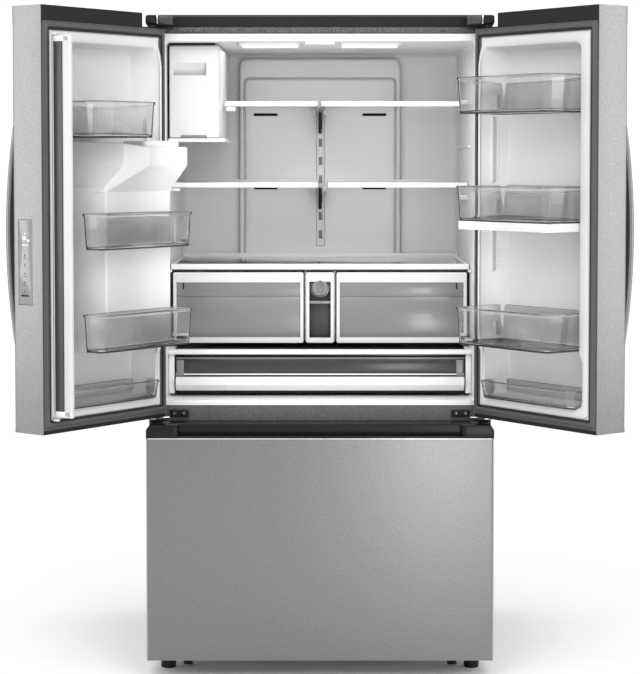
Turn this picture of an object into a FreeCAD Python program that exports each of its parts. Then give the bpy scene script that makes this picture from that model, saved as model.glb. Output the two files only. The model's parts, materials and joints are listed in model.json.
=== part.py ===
import FreeCAD, Part
import Sketcher
import os

# French door refrigerator, both doors open, freezer drawer closed.
# Millimetres. +Z is up, +X is right, the doors and the drawer face -Y.
# Every cabinet piece is drawn in the cabinet frame, whose Y = 0 is the cabinet's front plane
# and whose Z = 0 is the floor. Every door piece is drawn in the frame of its own door, closed:
# x runs from the hinge axis to the free edge, y runs into the cabinet, Z = 0 is the floor.

SIZES = {
    # cabinet
    "origin_setback": 158, "case_width": 908, "case_depth": 740, "case_top": 1739, "case_bottom": 62,
    "steel": 2, "liner_wall": 3, "side_wall": 45, "flange_inset": 27,
    "food_floor": 721, "food_ceiling": 1670, "food_back": 650, "food_lip_low": 707, "food_lip_high": 1690,
    "freezer_floor": 112, "freezer_ceiling": 650, "freezer_back": 500, "freezer_lip_low": 98,
    "freezer_lip_high": 660, "chamber_back": 604, "chamber_floor": 380, "fan_port": 62,
    "machine_front": 520, "machine_top": 340, "header_low": 1707, "header_high": 1734,
    # doors and hinges
    "door_opening": 127, "door_width": 452, "door_thickness": 100, "door_gap": 12, "door_bottom": 683,
    "door_top": 1736, "hinge_inset": 15, "hinge_setback": 30, "hinge_pin": 6, "pin_clearance": 0.05,
    "notch_reach": 70, "notch_floor": 1701, "cap_top_height": 47, "cap_bottom_height": 10, "skin": 1.5,
    "rim_low": 721, "rim_high": 1672, "rim_edge": 28, "rim_width": 25, "rim_rise": 8,
    "pocket_depth": 55, "pocket_low": 740, "pocket_high": 1633, "gasket_rise": 10,
    "handle_low": 761, "handle_high": 1581, "handle_standoff": 65, "handle_depth": 18,
    "handle_width": 22, "handle_edge": 34, "handle_foot": 42,
    # door bins
    "bin_wall": 2.5, "bin_reach_right": 115, "bin_reach_left": 143, "top_bin_near_edge": 259,
    "bin_near_edge": 397, "bin_free_edge": 57, "bin_corner": 22,
    # dispenser
    "bulge_rise": 78, "bulge_low": 879, "bulge_high": 1287, "chute_high": 1409, "chute_rise": 126,
    "niche_half": 98, "niche_low": 962, "niche_high": 1280, "niche_depth": 92,
    "panel_low": 1001, "panel_high": 1212, "panel_front": 18, "panel_back": 66,
    # mullion
    "mullion_low": 727, "mullion_high": 1661, "mullion_axis_x": 405, "mullion_axis_y": 46,
    "mullion_thick": 27, "mullion_span": 59,
    # shelves, covers and drawers inside
    "top_shelf": 1504, "low_shelf": 1282, "shelf_rim": 14, "shelf_front": 200, "shelf_back": 612,
    "duct_front": 615, "duct_half": 238, "duct_top": 1655, "duct_corner": 60,
    "cover_low": 1064, "cover_high": 1075, "cover_front": 145,
    "crisper_front": 150, "crisper_back": 600, "crisper_low": 859, "crisper_high": 1052,
    "crisper_inner": 45, "crisper_outer": 400,
    "pantry_cover_front": 65, "pantry_cover_low": 836, "pantry_cover_high": 849,
    "pantry_front": 78, "pantry_back": 590, "pantry_low": 735, "pantry_high": 827, "pantry_half": 388,
    "ice_left": 405, "ice_right": 268, "ice_low": 1414, "ice_high": 1667, "ice_front": 62, "ice_back": 600,
    # freezer drawer
    "drawer_low": 50, "drawer_seam": 633, "drawer_top": 669, "scoop_half": 384, "scoop_depth": 30,
    "basket_half": 372, "basket_low": 150, "basket_high": 470, "basket_back": 470,
    "upper_basket_low": 472, "upper_basket_high": 600, "upper_basket_depth": 250,
    "rail_low": 420, "rail_height": 36, "rail_length": 440,
    # machine compartment
    "compressor_x": 180, "compressor_y": 635, "valve_x": 390, "valve_z": 280,
    "evaporator_front": 530, "evaporator_low": 400, "evaporator_high": 462, "fin_pitch": 26,
    # underside
    "foot_radius": 20, "foot_height": 30, "foot_x": 406, "foot_y": 24, "foot_stud_top": 60,
    "roller_radius": 22, "rear_roller_radius": 24, "roller_x": 354, "front_axle_y": 40, "rear_axle_y": 690,
}

doc = FreeCAD.newDocument("refrigerator")
sheet = doc.addObject("Spreadsheet::Sheet", "Sizes")


class Size:
    """A number that remembers the sheet formula that gives it."""

    def __init__(self, number, formula):
        self.number = number
        self.formula = formula

    def __add__(self, other):
        other = as_size(other)
        return Size(self.number + other.number, f"({self.formula} + {other.formula})")

    def __sub__(self, other):
        other = as_size(other)
        return Size(self.number - other.number, f"({self.formula} - {other.formula})")

    def __mul__(self, other):
        other = as_size(other)
        return Size(self.number * other.number, f"({self.formula} * {other.formula})")

    def __truediv__(self, other):
        other = as_size(other)
        return Size(self.number / other.number, f"({self.formula} / {other.formula})")

    def __neg__(self):
        return Size(-self.number, f"(-1 * {self.formula})")

    def __radd__(self, other):
        return as_size(other) + self

    def __rsub__(self, other):
        return as_size(other) - self

    def __rmul__(self, other):
        return as_size(other) * self


def as_size(value):
    if isinstance(value, Size):
        return value
    return Size(float(value), f"({float(value):.6g})")


class Sheet:
    """The spreadsheet's cells as attributes, such as dim.case_width."""


dim = Sheet()
for row, (alias, number) in enumerate(SIZES.items(), start=1):
    sheet.set(f"A{row}", alias)
    sheet.set(f"B{row}", str(number))
    sheet.setAlias(f"B{row}", alias)
    setattr(dim, alias, Size(float(number), f"Sizes.{alias}"))
doc.recompute()

# sizes that follow from the driving ones
case_half = dim.case_width / 2
inner_half = case_half - dim.side_wall
opening_half = case_half - dim.flange_inset
hinge_x = case_half - dim.hinge_inset
hinge_y = -1 * (dim.door_gap + dim.hinge_setback)
door_back = dim.hinge_setback
door_front = dim.hinge_setback - dim.door_thickness
door_free = dim.door_width - dim.hinge_inset
door_near = -1 * dim.hinge_inset
rim_free = door_free - dim.rim_edge
pocket_free = rim_free - dim.rim_width
pocket_near = dim.rim_width - 7
niche_x = (door_free + door_near) / 2
notch_front = door_front - 1
drawer_front = -1 * (dim.door_gap + dim.door_thickness)
fan_z = (dim.chamber_floor + dim.freezer_ceiling) / 2 + 20
filter_z = dim.crisper_high - 42

published = []


def bind(item, path, size):
    item.setExpression(path, as_size(size).formula)


# ---- primitives and booleans ----

def box(name, x, y, z):
    """A block between two values along each axis."""
    item = doc.addObject("Part::Box", name)
    for span, length, axis in ((x, "Length", "x"), (y, "Width", "y"), (z, "Height", "z")):
        bind(item, length, as_size(span[1]) - span[0])
        bind(item, f"Placement.Base.{axis}", span[0])
    return item


TURNS = {
    "x": FreeCAD.Rotation(FreeCAD.Vector(0, 1, 0), 90),
    "y": FreeCAD.Rotation(FreeCAD.Vector(1, 0, 0), -90),
    "z": FreeCAD.Rotation(),
}


def rod(name, axis, radius, start, length):
    """A round rod that leaves start along +axis."""
    item = doc.addObject("Part::Cylinder", name)
    item.Placement = FreeCAD.Placement(FreeCAD.Vector(), TURNS[axis])
    bind(item, "Radius", radius)
    bind(item, "Height", length)
    for letter, value in zip("xyz", start):
        bind(item, f"Placement.Base.{letter}", value)
    return item


def fuse(name, pieces):
    item = doc.addObject("Part::MultiFuse", name)
    item.Shapes = pieces
    return item


def cut(name, base, tools):
    item = doc.addObject("Part::Cut", name)
    item.Base = base
    item.Tool = tools[0] if len(tools) == 1 else fuse(f"{name}_tools", tools)
    return item


def hollow_box(name, x, y, z, wall, open_side):
    """A box with walls all round, left open on one side, such as "+z" or "-y"."""
    spans = {"x": x, "y": y, "z": z}
    inner = {axis: [span[0] + wall, span[1] - wall] for axis, span in spans.items()}
    end = 1 if open_side[0] == "+" else 0
    outward = wall if end == 1 else -1 * as_size(wall)
    inner[open_side[1]][end] = spans[open_side[1]][end] + outward
    outer = box(f"{name}_block", x, y, z)
    return cut(name, outer, [box(f"{name}_room", inner["x"], inner["y"], inner["z"])])


# ---- bodies with sketches ----

def body(name):
    return doc.addObject("PartDesign::Body", name)


def sketch(owner, plane, name, offset=0):
    """A sketch on one of the body's own origin planes: XY_Plane, XZ_Plane (faces -Y) or YZ_Plane."""
    item = owner.newObject("Sketcher::SketchObject", name)
    base = [feature for feature in owner.Origin.OriginFeatures if feature.Role == plane][0]
    item.AttachmentSupport = [(base, "")]
    item.MapMode = "FlatFace"
    bind(item, "AttachmentOffset.Base.z", offset)
    return item


def pin_point(item, edge, end, x, y):
    """Tie one end of an edge to its place, both distances bound to the sheet."""
    for kind, size in (("DistanceX", as_size(x)), ("DistanceY", as_size(y))):
        index = item.addConstraint(Sketcher.Constraint(kind, -1, 1, edge, end, size.number))
        bind(item, f"Constraints[{index}]", size)


def outline(item, points):
    """A closed outline. A point is (x, y), or (x, y, radius) where an arc of that radius leads to it.
    A positive radius turns anticlockwise, a negative one clockwise."""
    corners = [(as_size(point[0]), as_size(point[1])) for point in points]
    count = len(points)
    for index in range(count):
        after = (index + 1) % count
        first = FreeCAD.Vector(corners[index][0].number, corners[index][1].number, 0)
        last = FreeCAD.Vector(corners[after][0].number, corners[after][1].number, 0)
        if len(points[after]) == 2:
            edge = item.addGeometry(Part.LineSegment(first, last), False)
            pin_point(item, edge, 1, *corners[index])
        else:
            radius = as_size(points[after][2])
            reach = abs(radius.number)
            chord = last - first
            side = FreeCAD.Vector(-chord.y, chord.x, 0).normalize()
            drop = (reach ** 2 - (chord.Length / 2) ** 2) ** 0.5
            turn = 1 if radius.number > 0 else -1
            centre = (first + last) * 0.5 + side * drop * turn
            middle = centre - side * reach * turn
            edge = item.addGeometry(Part.Arc(first, middle, last), False)
            start = 1 if turn > 0 else 2
            pin_point(item, edge, start, *corners[index])
            size = radius if turn > 0 else -1 * radius
            place = item.addConstraint(Sketcher.Constraint("Radius", edge, size.number))
            bind(item, f"Constraints[{place}]", size)
    for index in range(count):
        after = (index + 1) % count
        ends = []
        for edge, far in ((index, True), (after, False)):
            geometry = item.Geometry[edge]
            clockwise = isinstance(geometry, Part.ArcOfCircle) and len(points[(edge + 1) % count]) == 3 \
                and as_size(points[(edge + 1) % count][2]).number < 0
            ends.append((2 if far else 1) if not clockwise else (1 if far else 2))
        item.addConstraint(Sketcher.Constraint("Coincident", index, ends[0], after, ends[1]))


def circle(item, x, y, radius):
    x, y, radius = as_size(x), as_size(y), as_size(radius)
    centre = FreeCAD.Vector(x.number, y.number, 0)
    edge = item.addGeometry(Part.Circle(centre, FreeCAD.Vector(0, 0, 1), radius.number), False)
    pin_point(item, edge, 3, x, y)
    index = item.addConstraint(Sketcher.Constraint("Radius", edge, radius.number))
    bind(item, f"Constraints[{index}]", radius)


def pad(owner, profile, name, length, centred=False):
    item = owner.newObject("PartDesign::Pad", name)
    item.Profile = profile
    item.Midplane = centred
    bind(item, "Length", length)
    owner.Tip = item
    return item


def prism(name, plane, points, low, high):
    """A body padded from one outline. XY outlines rise along Z, YZ outlines run along X
    and XZ outlines run along -Y, from low to high along that direction."""
    owner = body(name)
    profile = sketch(owner, plane, f"{name}_sketch", low)
    outline(profile, points)
    pad(owner, profile, f"{name}_pad", as_size(high) - low)
    return owner


def turned(name, points, axis_name="V_Axis", plane="XZ_Plane"):
    """A body revolved about the sketch's vertical or horizontal axis."""
    owner = body(name)
    profile = sketch(owner, plane, f"{name}_sketch")
    outline(profile, points)
    item = owner.newObject("PartDesign::Revolution", f"{name}_turn")
    item.Profile = profile
    item.ReferenceAxis = (profile, [axis_name])
    item.Angle = 360
    owner.Tip = item
    return owner


def moved(item, x, y, z, turn=None):
    """Set a piece's own place, bound to the sheet."""
    if turn is not None:
        item.Placement = FreeCAD.Placement(FreeCAD.Vector(), turn)
    for letter, value in zip("xyz", (x, y, z)):
        bind(item, f"Placement.Base.{letter}", value)
    return item


# ---- publishing ----

def publish(node, pieces):
    """Keep one cabinet sub-part under its node name; several pieces stay separate solids."""
    item = pieces[0] if len(pieces) == 1 else fuse(f"{node}_group", pieces)
    item.Label = node
    bind(item, "Placement.Base.y", -1 * dim.origin_setback)
    published.append(item)
    return item


def publish_on_door(node, pieces, hand):
    """The same for a door sub-part, which is then swung open about the hinge axis."""
    item = pieces[0] if len(pieces) == 1 else fuse(f"{node}_group", pieces)
    item.Label = node
    item.Placement = FreeCAD.Placement(FreeCAD.Vector(), FreeCAD.Rotation(FreeCAD.Vector(0, 0, -hand), 1))
    bind(item, "Placement.Rotation.Angle", dim.door_opening)
    bind(item, "Placement.Base.x", -hand * hinge_x)
    bind(item, "Placement.Base.y", hinge_y - dim.origin_setback)
    published.append(item)
    return item


def across(hand, low, high):
    """A span along a door, from hinge to free edge, mirrored on the right door."""
    return (low, high) if hand > 0 else (-1 * as_size(high), -1 * as_size(low))


# ---- cabinet shell ----

def both(low, high):
    """The same span on the left and on the right of the centre plane."""
    return ((-1 * as_size(high), -1 * as_size(low)), (low, high))


def make_outer_case():
    """Wrapper sheet: two sides and the top, with the flange that frames both openings."""
    block = box("case_block", (-case_half, case_half), (0, dim.case_depth - dim.steel),
                (dim.case_bottom, dim.case_top))
    inside = box("case_inside", (dim.steel - case_half, case_half - dim.steel), (dim.steel, dim.case_depth),
                 (dim.case_bottom - 1, dim.case_top - dim.steel))
    food_hole = box("case_food_hole", (-opening_half, opening_half), (-1, dim.steel + 1),
                    (dim.food_lip_low, dim.food_lip_high))
    freezer_hole = box("case_freezer_hole", (-opening_half, opening_half), (-1, dim.steel + 1),
                       (dim.freezer_lip_low, dim.freezer_lip_high))
    publish("outer_case", [cut("case_shell", block, [inside, food_hole, freezer_hole])])


def make_back_cover():
    sheet_metal = box("back_sheet", (-case_half, case_half), (dim.case_depth - dim.steel, dim.case_depth),
                      (dim.machine_top, dim.case_top))
    slots = [box(f"back_slot_{index}", (-60, 60), (dim.case_depth - 5, dim.case_depth + 1),
                 (dim.case_top - 60 - 18 * index, dim.case_top - 54 - 18 * index)) for index in range(3)]
    publish("back_cover", [cut("back_panel", sheet_metal, slots)])


def make_insulation():
    """Foam between the wrapper and the liners, with the machine compartment left out."""
    wall = dim.liner_wall
    lip = dim.steel + 2
    block = box("foam_block", (dim.steel - case_half, case_half - dim.steel),
                (lip, dim.case_depth - dim.steel), (dim.case_bottom, dim.case_top - dim.steel))
    food = box("foam_food", (-1 * inner_half - wall, inner_half + wall), (0, dim.food_back + wall),
               (dim.food_floor - wall, dim.food_ceiling + wall))
    freezer = box("foam_freezer", (-1 * inner_half - wall, inner_half + wall), (0, dim.freezer_back + wall),
                  (dim.freezer_floor - wall, dim.freezer_ceiling + wall))
    chamber = box("foam_chamber", (-1 * inner_half - wall, inner_half + wall),
                  (dim.freezer_back, dim.chamber_back + wall),
                  (dim.chamber_floor - wall, dim.freezer_ceiling + wall))
    machine = box("foam_machine", (-case_half, case_half), (dim.machine_front, dim.case_depth),
                  (dim.case_bottom - 1, dim.machine_top))
    publish("cabinet_insulation", [cut("foam", block, [food, freezer, chamber, machine])])


def liner_flange(name, low, high, floor, ceiling):
    """The liner's front lip, which fills the wrapper's opening."""
    plate = box(f"{name}_plate", (-opening_half, opening_half), (0, dim.steel + 2), (low, high))
    hole = box(f"{name}_hole", (-1 * inner_half, inner_half), (-1, dim.steel + 3), (floor, ceiling))
    return cut(f"{name}_lip", plate, [hole])


def make_food_liner():
    wall = dim.liner_wall
    outer = box("food_outer", (-1 * inner_half - wall, inner_half + wall),
                (dim.steel + 2, dim.food_back + wall),
                (dim.food_floor - wall, dim.food_ceiling + wall))
    room = box("food_room", (-1 * inner_half, inner_half), (0, dim.food_back),
               (dim.food_floor, dim.food_ceiling))
    lip = liner_flange("food", dim.food_lip_low, dim.food_lip_high, dim.food_floor, dim.food_ceiling)
    publish("fresh_food_liner", [fuse("food_liner_shell", [cut("food_tub", outer, [room]), lip])])


def make_freezer_liner():
    wall = dim.liner_wall
    outer = box("freezer_outer", (-1 * inner_half - wall, inner_half + wall),
                (dim.steel + 2, dim.freezer_back + wall),
                (dim.freezer_floor - wall, dim.freezer_ceiling + wall))
    room = box("freezer_room", (-1 * inner_half, inner_half), (0, dim.freezer_back),
               (dim.freezer_floor, dim.freezer_ceiling))
    back = box("chamber_outer", (-1 * inner_half - wall, inner_half + wall),
               (dim.freezer_back, dim.chamber_back + wall),
               (dim.chamber_floor - wall, dim.freezer_ceiling + wall))
    chamber = box("chamber_room", (-1 * inner_half, inner_half), (dim.freezer_back + wall, dim.chamber_back),
                  (dim.chamber_floor, dim.freezer_ceiling))
    port = rod("fan_port_hole", "y", dim.fan_port, (0, dim.freezer_back - 5, fan_z), 15)
    lip = liner_flange("freezer", dim.freezer_lip_low, dim.freezer_lip_high, dim.freezer_floor,
                       dim.freezer_ceiling)
    shell = cut("freezer_tub", fuse("freezer_walls", [outer, back]), [room, chamber, port])
    publish("freezer_liner", [fuse("freezer_liner_shell", [shell, lip])])


def make_top_cover():
    """Dark header bar across the front with a cover over each top hinge."""
    bar = box("header_bar", (-case_half, case_half), (-6, 0), (dim.header_low, dim.header_high))
    pieces = [bar]
    rooms = []
    for index, span in enumerate(both(hinge_x - 55, case_half)):
        pieces.append(box(f"hinge_cover_{index}", span, (hinge_y - 36, 0),
                          (dim.notch_floor + 2, dim.header_high)))
    for index, span in enumerate(both(hinge_x - 52, case_half - 3)):
        rooms.append(box(f"hinge_room_{index}", span, (hinge_y - 33, 0),
                         (dim.notch_floor + 1, dim.header_high - 3)))
    publish("top_cover", [cut("header", fuse("header_blocks", pieces), rooms)])


def make_upper_hinges():
    """Steel plates bolted to the front with the pins that the doors turn on."""
    plates = []
    for hand in (-1, 1):
        x = hand * hinge_x
        arm = box(f"upper_arm_{hand}", (x - 10, x + 10), (hinge_y - 10, 0),
                  (dim.notch_floor + 6, dim.notch_floor + 11))
        seat = box(f"upper_seat_{hand}", across(hand, hinge_x - 46, hinge_x + 8), (-5, 0),
                   (dim.notch_floor + 6, dim.notch_floor + 26))
        pin = rod(f"upper_pin_{hand}", "z", dim.hinge_pin, (x, hinge_y, dim.notch_floor - 9), 20)
        plates.append(fuse(f"upper_hinge_{hand}", [arm, seat, pin]))
    publish("upper_hinges", plates)


def make_center_hinges():
    """Brackets screwed to the divider: a front plate, an arm under the door and an upright pin."""
    brackets = []
    for hand in (-1, 1):
        x = hand * hinge_x
        plate = box(f"center_plate_{hand}", across(hand, inner_half - 63, inner_half + 17), (-4, 0),
                    (dim.drawer_top + 6, dim.door_bottom + 13))
        arm = box(f"center_arm_{hand}", across(hand, inner_half + 1, hinge_x + 14), (hinge_y - 14, 0),
                  (dim.drawer_top + 6, dim.door_bottom - 3))
        pin = rod(f"center_pin_{hand}", "z", dim.hinge_pin, (x, hinge_y, dim.door_bottom - 5), 13)
        heads = [rod(f"center_screw_{hand}_{step}", "y", 5,
                     (hand * (inner_half - 48 + 44 * step), -7, dim.door_bottom + 3), 4)
                 for step in range(2)]
        brackets.append(fuse(f"center_hinge_{hand}", [plate, arm, pin] + heads))
    publish("center_hinges", brackets)


def make_ceiling_lamps():
    lamps = [box(f"lamp_{index}", span, (60, 190), (dim.food_ceiling - 6, dim.food_ceiling))
             for index, span in enumerate(both(59, 211))]
    publish("ceiling_lamps", lamps)


def make_duct_cover():
    """Air duct on the rear wall: a raised arched frame, an inner panel, four vents and a shelf track."""
    half, corner = dim.duct_half, dim.duct_corner
    low = dim.food_floor + 140
    frame = prism("duct_frame", "XZ_Plane", [
        (-1 * half, low), (half, low), (half, dim.duct_top - corner), (half - corner, dim.duct_top, corner),
        (corner - half, dim.duct_top), (-1 * half, dim.duct_top - corner, corner)],
        -1 * dim.food_back, -1 * dim.duct_front)
    tools = [box("duct_hollow", (15 - half, half - 15), (dim.duct_front + 12, dim.food_back + 1),
                 (low + 12, dim.duct_top - 75))]
    for level, height in enumerate((dim.top_shelf - 18, dim.low_shelf - 12)):
        for index, span in enumerate(both(125, 195)):
            tools.append(box(f"vent_{level}_{index}", span, (dim.duct_front - 1, dim.duct_front + 20),
                             (height, height + 9)))
    track = box("shelf_track", (-12.5, 12.5), (dim.duct_front - 3, dim.duct_front), (1113, 1500))
    slots = [box(f"track_slot_{index}", (-4, 4), (dim.duct_front - 4, dim.duct_front + 20),
                 (1125 + 40 * index, 1147 + 40 * index)) for index in range(9)]
    publish("duct_cover", [cut("duct", fuse("duct_body", [frame, track]), tools + slots)])


# ---- shelves and covers ----

def shelf(name, left, right, low, front, back):
    """A glass plate in a moulded rim, on two small ledges."""
    return box(name, (left, right), (front, back), (low, low + dim.shelf_rim))


def make_shelves():
    side = inner_half - 4
    for node, low, left_span, right_span in (
            ("upper_shelves", dim.top_shelf, (8 - dim.ice_right, -7), (4, side)),
            ("lower_shelves", dim.low_shelf, (-1 * side, -6), (22, side))):
        glass = [shelf(f"{node}_{index}", span[0], span[1], low, dim.shelf_front, dim.shelf_back)
                 for index, span in enumerate((left_span, right_span))]
        publish(node, glass)


def make_crisper_cover():
    """Glass cover above the crispers, with the centre partition that their inner rails hang on."""
    plate = box("cover_plate", (4 - inner_half, inner_half - 4), (dim.cover_front, dim.duct_front - 3),
                (dim.cover_low, dim.cover_high))
    walls = [box(f"cover_wall_{index}", span, (dim.crisper_front + 40, dim.crisper_back),
                 (dim.crisper_low, dim.cover_low)) for index, span in enumerate(both(36, 40))]
    publish("crisper_cover", [fuse("cover", [plate] + walls)])


def make_filter_housing():
    """Centre bay between the crispers: a frame, the filter behind it and an open recess below."""
    half = dim.crisper_inner - 7
    block = box("bay_block", (-1 * half, half), (dim.crisper_front, dim.crisper_front + 36),
                (dim.crisper_low, dim.crisper_high))
    knob_room = box("bay_knob_room", (8 - half, half - 8), (dim.crisper_front - 1, dim.crisper_front + 40),
                    (filter_z - 32, filter_z + 32))
    recess = box("bay_recess", (8 - half, half - 8), (dim.crisper_front - 1, dim.crisper_front + 28),
                 (dim.crisper_low + 12, filter_z - 38))
    publish("filter_housing", [cut("bay", block, [knob_room, recess])])


def make_filter_cartridge():
    """Cartridge that pulls straight out, with a round lens and a grip on its end."""
    body_rod = rod("cartridge_tube", "y", 26, (0, dim.crisper_front + 6, filter_z), 230)
    cap = rod("cartridge_cap", "y", 29, (0, dim.crisper_front + 2, filter_z), 8)
    grip = box("cartridge_grip", (-4, 4), (dim.crisper_front - 10, dim.crisper_front + 3),
               (filter_z - 20, filter_z + 20))
    publish("filter_cartridge", [fuse("cartridge", [body_rod, cap, grip])])


def make_crisper(node, hand):
    """Clear tub behind a framed front."""
    x = across(hand, dim.crisper_inner, dim.crisper_outer)
    front = box(f"{node}_front", x, (dim.crisper_front, dim.crisper_front + 14),
                (dim.crisper_low, dim.crisper_high))
    inner = across(hand, dim.crisper_inner + 6, dim.crisper_outer - 6)
    tub = hollow_box(f"{node}_tub", inner, (dim.crisper_front + 14, dim.crisper_back),
                     (dim.crisper_low + 6, dim.crisper_high - 12), 3, "+z")
    publish(node, [fuse(f"{node}_body", [front, tub])])


def make_pantry_cover():
    """Glass-topped shelf over the pantry drawer, on a post at each side."""
    plate = box("pantry_plate", (1 - inner_half, inner_half - 1),
                (dim.pantry_cover_front, dim.duct_front - 3),
                (dim.pantry_cover_low, dim.pantry_cover_high))
    posts = [box(f"pantry_post_{index}", span, (dim.pantry_front + 3, dim.duct_front - 3),
                 (dim.food_floor + 8, dim.pantry_cover_low))
             for index, span in enumerate(both(dim.pantry_half + 4, inner_half - 1))]
    publish("pantry_cover", [fuse("pantry_shelf", [plate] + posts)])


def make_pantry_drawer():
    """Full-width drawer: a smoked window above a handle bar, and a clear tub."""
    half = dim.pantry_half
    front = box("pantry_front_panel", (-1 * half, half), (dim.pantry_front, dim.pantry_front + 12),
                (dim.pantry_low, dim.pantry_high - 4))
    bar = box("pantry_bar", (-1 * half, half), (dim.pantry_front - 12, dim.pantry_front),
              (dim.pantry_low, dim.pantry_low + 36))
    tub = hollow_box("pantry_tub", (4 - half, half - 4), (dim.pantry_front + 12, dim.pantry_back),
                     (dim.pantry_low, dim.pantry_high - 12), 3, "+z")
    publish("pantry_drawer", [fuse("pantry_body", [front, bar, tub])])


def make_ice_maker_housing():
    x = (-1 * dim.ice_left, -1 * dim.ice_right)
    publish("ice_maker_housing", [hollow_box("ice_housing", x, (dim.ice_front, dim.ice_back),
                                             (dim.ice_low, dim.ice_high), 4, "-y")])


def make_ice_bucket():
    """Front panel with a grip recess, and the bucket that it pulls out."""
    x = (9 - dim.ice_left, -1 * dim.ice_right - 5)
    panel = box("ice_panel", x, (dim.ice_front + 2, dim.ice_front + 32), (dim.ice_low + 5, dim.ice_high - 5))
    grip = box("ice_grip", (-392, -299), (dim.ice_front, dim.ice_front + 24), (1581, 1616))
    bucket = hollow_box("ice_tub", x, (dim.ice_front + 32, dim.ice_back - 60),
                        (dim.ice_low + 5, dim.ice_high - 70), 3, "+z")
    publish("ice_bucket", [fuse("ice_bucket_body", [cut("ice_front_panel", panel, [grip]), bucket])])


# ---- cooling machinery ----

def make_evaporator():
    """Finned coil across the freezer's rear chamber."""
    front, low, pitch = dim.evaporator_front, dim.evaporator_low, dim.fin_pitch
    plates = [box(f"evaporator_fin_{index}", (pitch * index - 300, pitch * index - 298),
                  (front, front + 60), (low, dim.evaporator_high)) for index in range(24)]
    tubes = [rod(f"evaporator_tube_{row}_{level}", "x", 4,
                 (-305, front + 15 + 30 * row, low + 15 + 32 * level), 610)
             for row in range(2) for level in range(2)]
    publish("evaporator", [fuse("coil", plates + tubes)])


def fan(node, centre_x, centre_y, centre_z, reach, blades):
    """A hub with swept blades, padded and repeated about its axis."""
    owner = body(f"{node}_body")
    hub = sketch(owner, "XZ_Plane", f"{node}_hub_sketch")
    circle(hub, 0, 0, 16)
    pad(owner, hub, f"{node}_hub", 22, True)
    blade_sketch = sketch(owner, "XZ_Plane", f"{node}_blade_sketch")
    outline(blade_sketch, [(10, -9), (reach, -16), (reach, 12), (10, 9)])
    blade = pad(owner, blade_sketch, f"{node}_blade", 3, True)
    doc.recompute()
    pattern = owner.newObject("PartDesign::PolarPattern", f"{node}_blades")
    pattern.Originals = [blade]
    pattern.Axis = (hub, ["N_Axis"])
    pattern.Angle = 360
    pattern.Occurrences = blades
    owner.Tip = pattern
    bind(owner, "Placement.Base.x", centre_x)
    bind(owner, "Placement.Base.z", centre_z)
    owner.Label = node
    bind(owner, "Placement.Base.y", centre_y - dim.origin_setback)
    published.append(owner)


def make_compressor():
    """Domed steel shell on two mounting rails."""
    shell = turned("compressor_shell", [
        (0, 0), (70, 0), (84, 22, 30), (84, 118), (52, 158, 46), (0, 166)])
    x, y = -1 * dim.compressor_x, dim.compressor_y
    moved(shell, x, y, dim.case_bottom + 6)
    rails = [box(f"compressor_rail_{index}", (x - 85, x + 85), (y - 60 + 95 * index, y - 35 + 95 * index),
                 (dim.case_bottom, dim.case_bottom + 8))
             for index in range(2)]
    publish("compressor", [fuse("compressor_unit", [shell] + rails)])


def make_condenser():
    """Wire-and-tube coil beside the fan."""
    tubes = [rod(f"condenser_tube_{level}_{row}", "y", 3, (60 + 26 * level, 560, 120 + 28 * row), 140)
             for level in range(5) for row in range(6)]
    sides = [box(f"condenser_side_{index}", (50, 175), (557 + 143 * index, 560 + 143 * index),
                 (dim.case_bottom, 275))
             for index in range(2)]
    publish("condenser", [fuse("condenser_coil", tubes + sides)])


def make_machine_cover():
    """Louvred board over the machine compartment."""
    board = box("machine_board", (-case_half, case_half), (dim.case_depth - dim.steel, dim.case_depth),
                (dim.case_bottom + 10, dim.machine_top))
    slots = [box(f"louvre_{column}_{level}", (-360 + 150 * column, -260 + 150 * column),
                 (dim.case_depth - 5, dim.case_depth + 1), (140 + 22 * level, 148 + 22 * level))
             for column in range(5) for level in range(7)]
    inlet = box("power_inlet_hole", (376, 404), (dim.case_depth - 5, dim.case_depth + 1), (120, 142))
    hose = rod("hose_hole", "y", 14, (-1 * dim.valve_x, dim.case_depth - 5, dim.valve_z), 8)
    publish("machine_cover", [cut("machine_panel", board, slots + [inlet, hose])])


def make_water_valve():
    """Inlet valve in the machine compartment, its pipe stub through the rear board."""
    x, z = -1 * dim.valve_x, dim.valve_z
    block = box("valve_block", (x - 25, x + 25), (660, 710), (z - 30, z + 30))
    stub = rod("valve_stub", "y", 9.5, (x, 710, z), 42)
    bore = rod("valve_bore", "y", 5, (x, 700, z), 60)
    publish("water_valve", [cut("valve", fuse("valve_body", [block, stub]), [bore])])


def make_base_frame():
    """Pressed steel tray under the cabinet with the brackets for the rollers."""
    tray = box("base_tray", (-440, 440), (8, 737), (56, dim.case_bottom))
    hangers = []
    for end, y in (("front", dim.front_axle_y), ("rear", dim.rear_axle_y)):
        for hand in (-1, 1):
            for step, x in enumerate((dim.roller_x - 18, dim.roller_x + 12)):
                hangers.append(box(f"hanger_{end}_{hand}_{step}", across(hand, x, x + 5),
                                   (y - 14, y + 14), (14, 56)))
    holes = [rod(f"axle_hole_{end}", "x", 4.05, (-400, y, z), 800)
             for end, y, z in (("front", dim.front_axle_y, dim.roller_radius + 2),
                               ("rear", dim.rear_axle_y, dim.rear_roller_radius))]
    sockets = [rod(f"foot_socket_{hand}", "z", 12, (hand * dim.foot_x, dim.foot_y, 36), 20)
               for hand in (-1, 1)]
    bores = [rod(f"foot_bore_{hand}", "z", 6.05, (hand * dim.foot_x, dim.foot_y, 30), 40)
             for hand in (-1, 1)]
    publish("base_frame", [cut("base", fuse("base_blocks", [tray] + hangers + sockets), holes + bores)])


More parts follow.
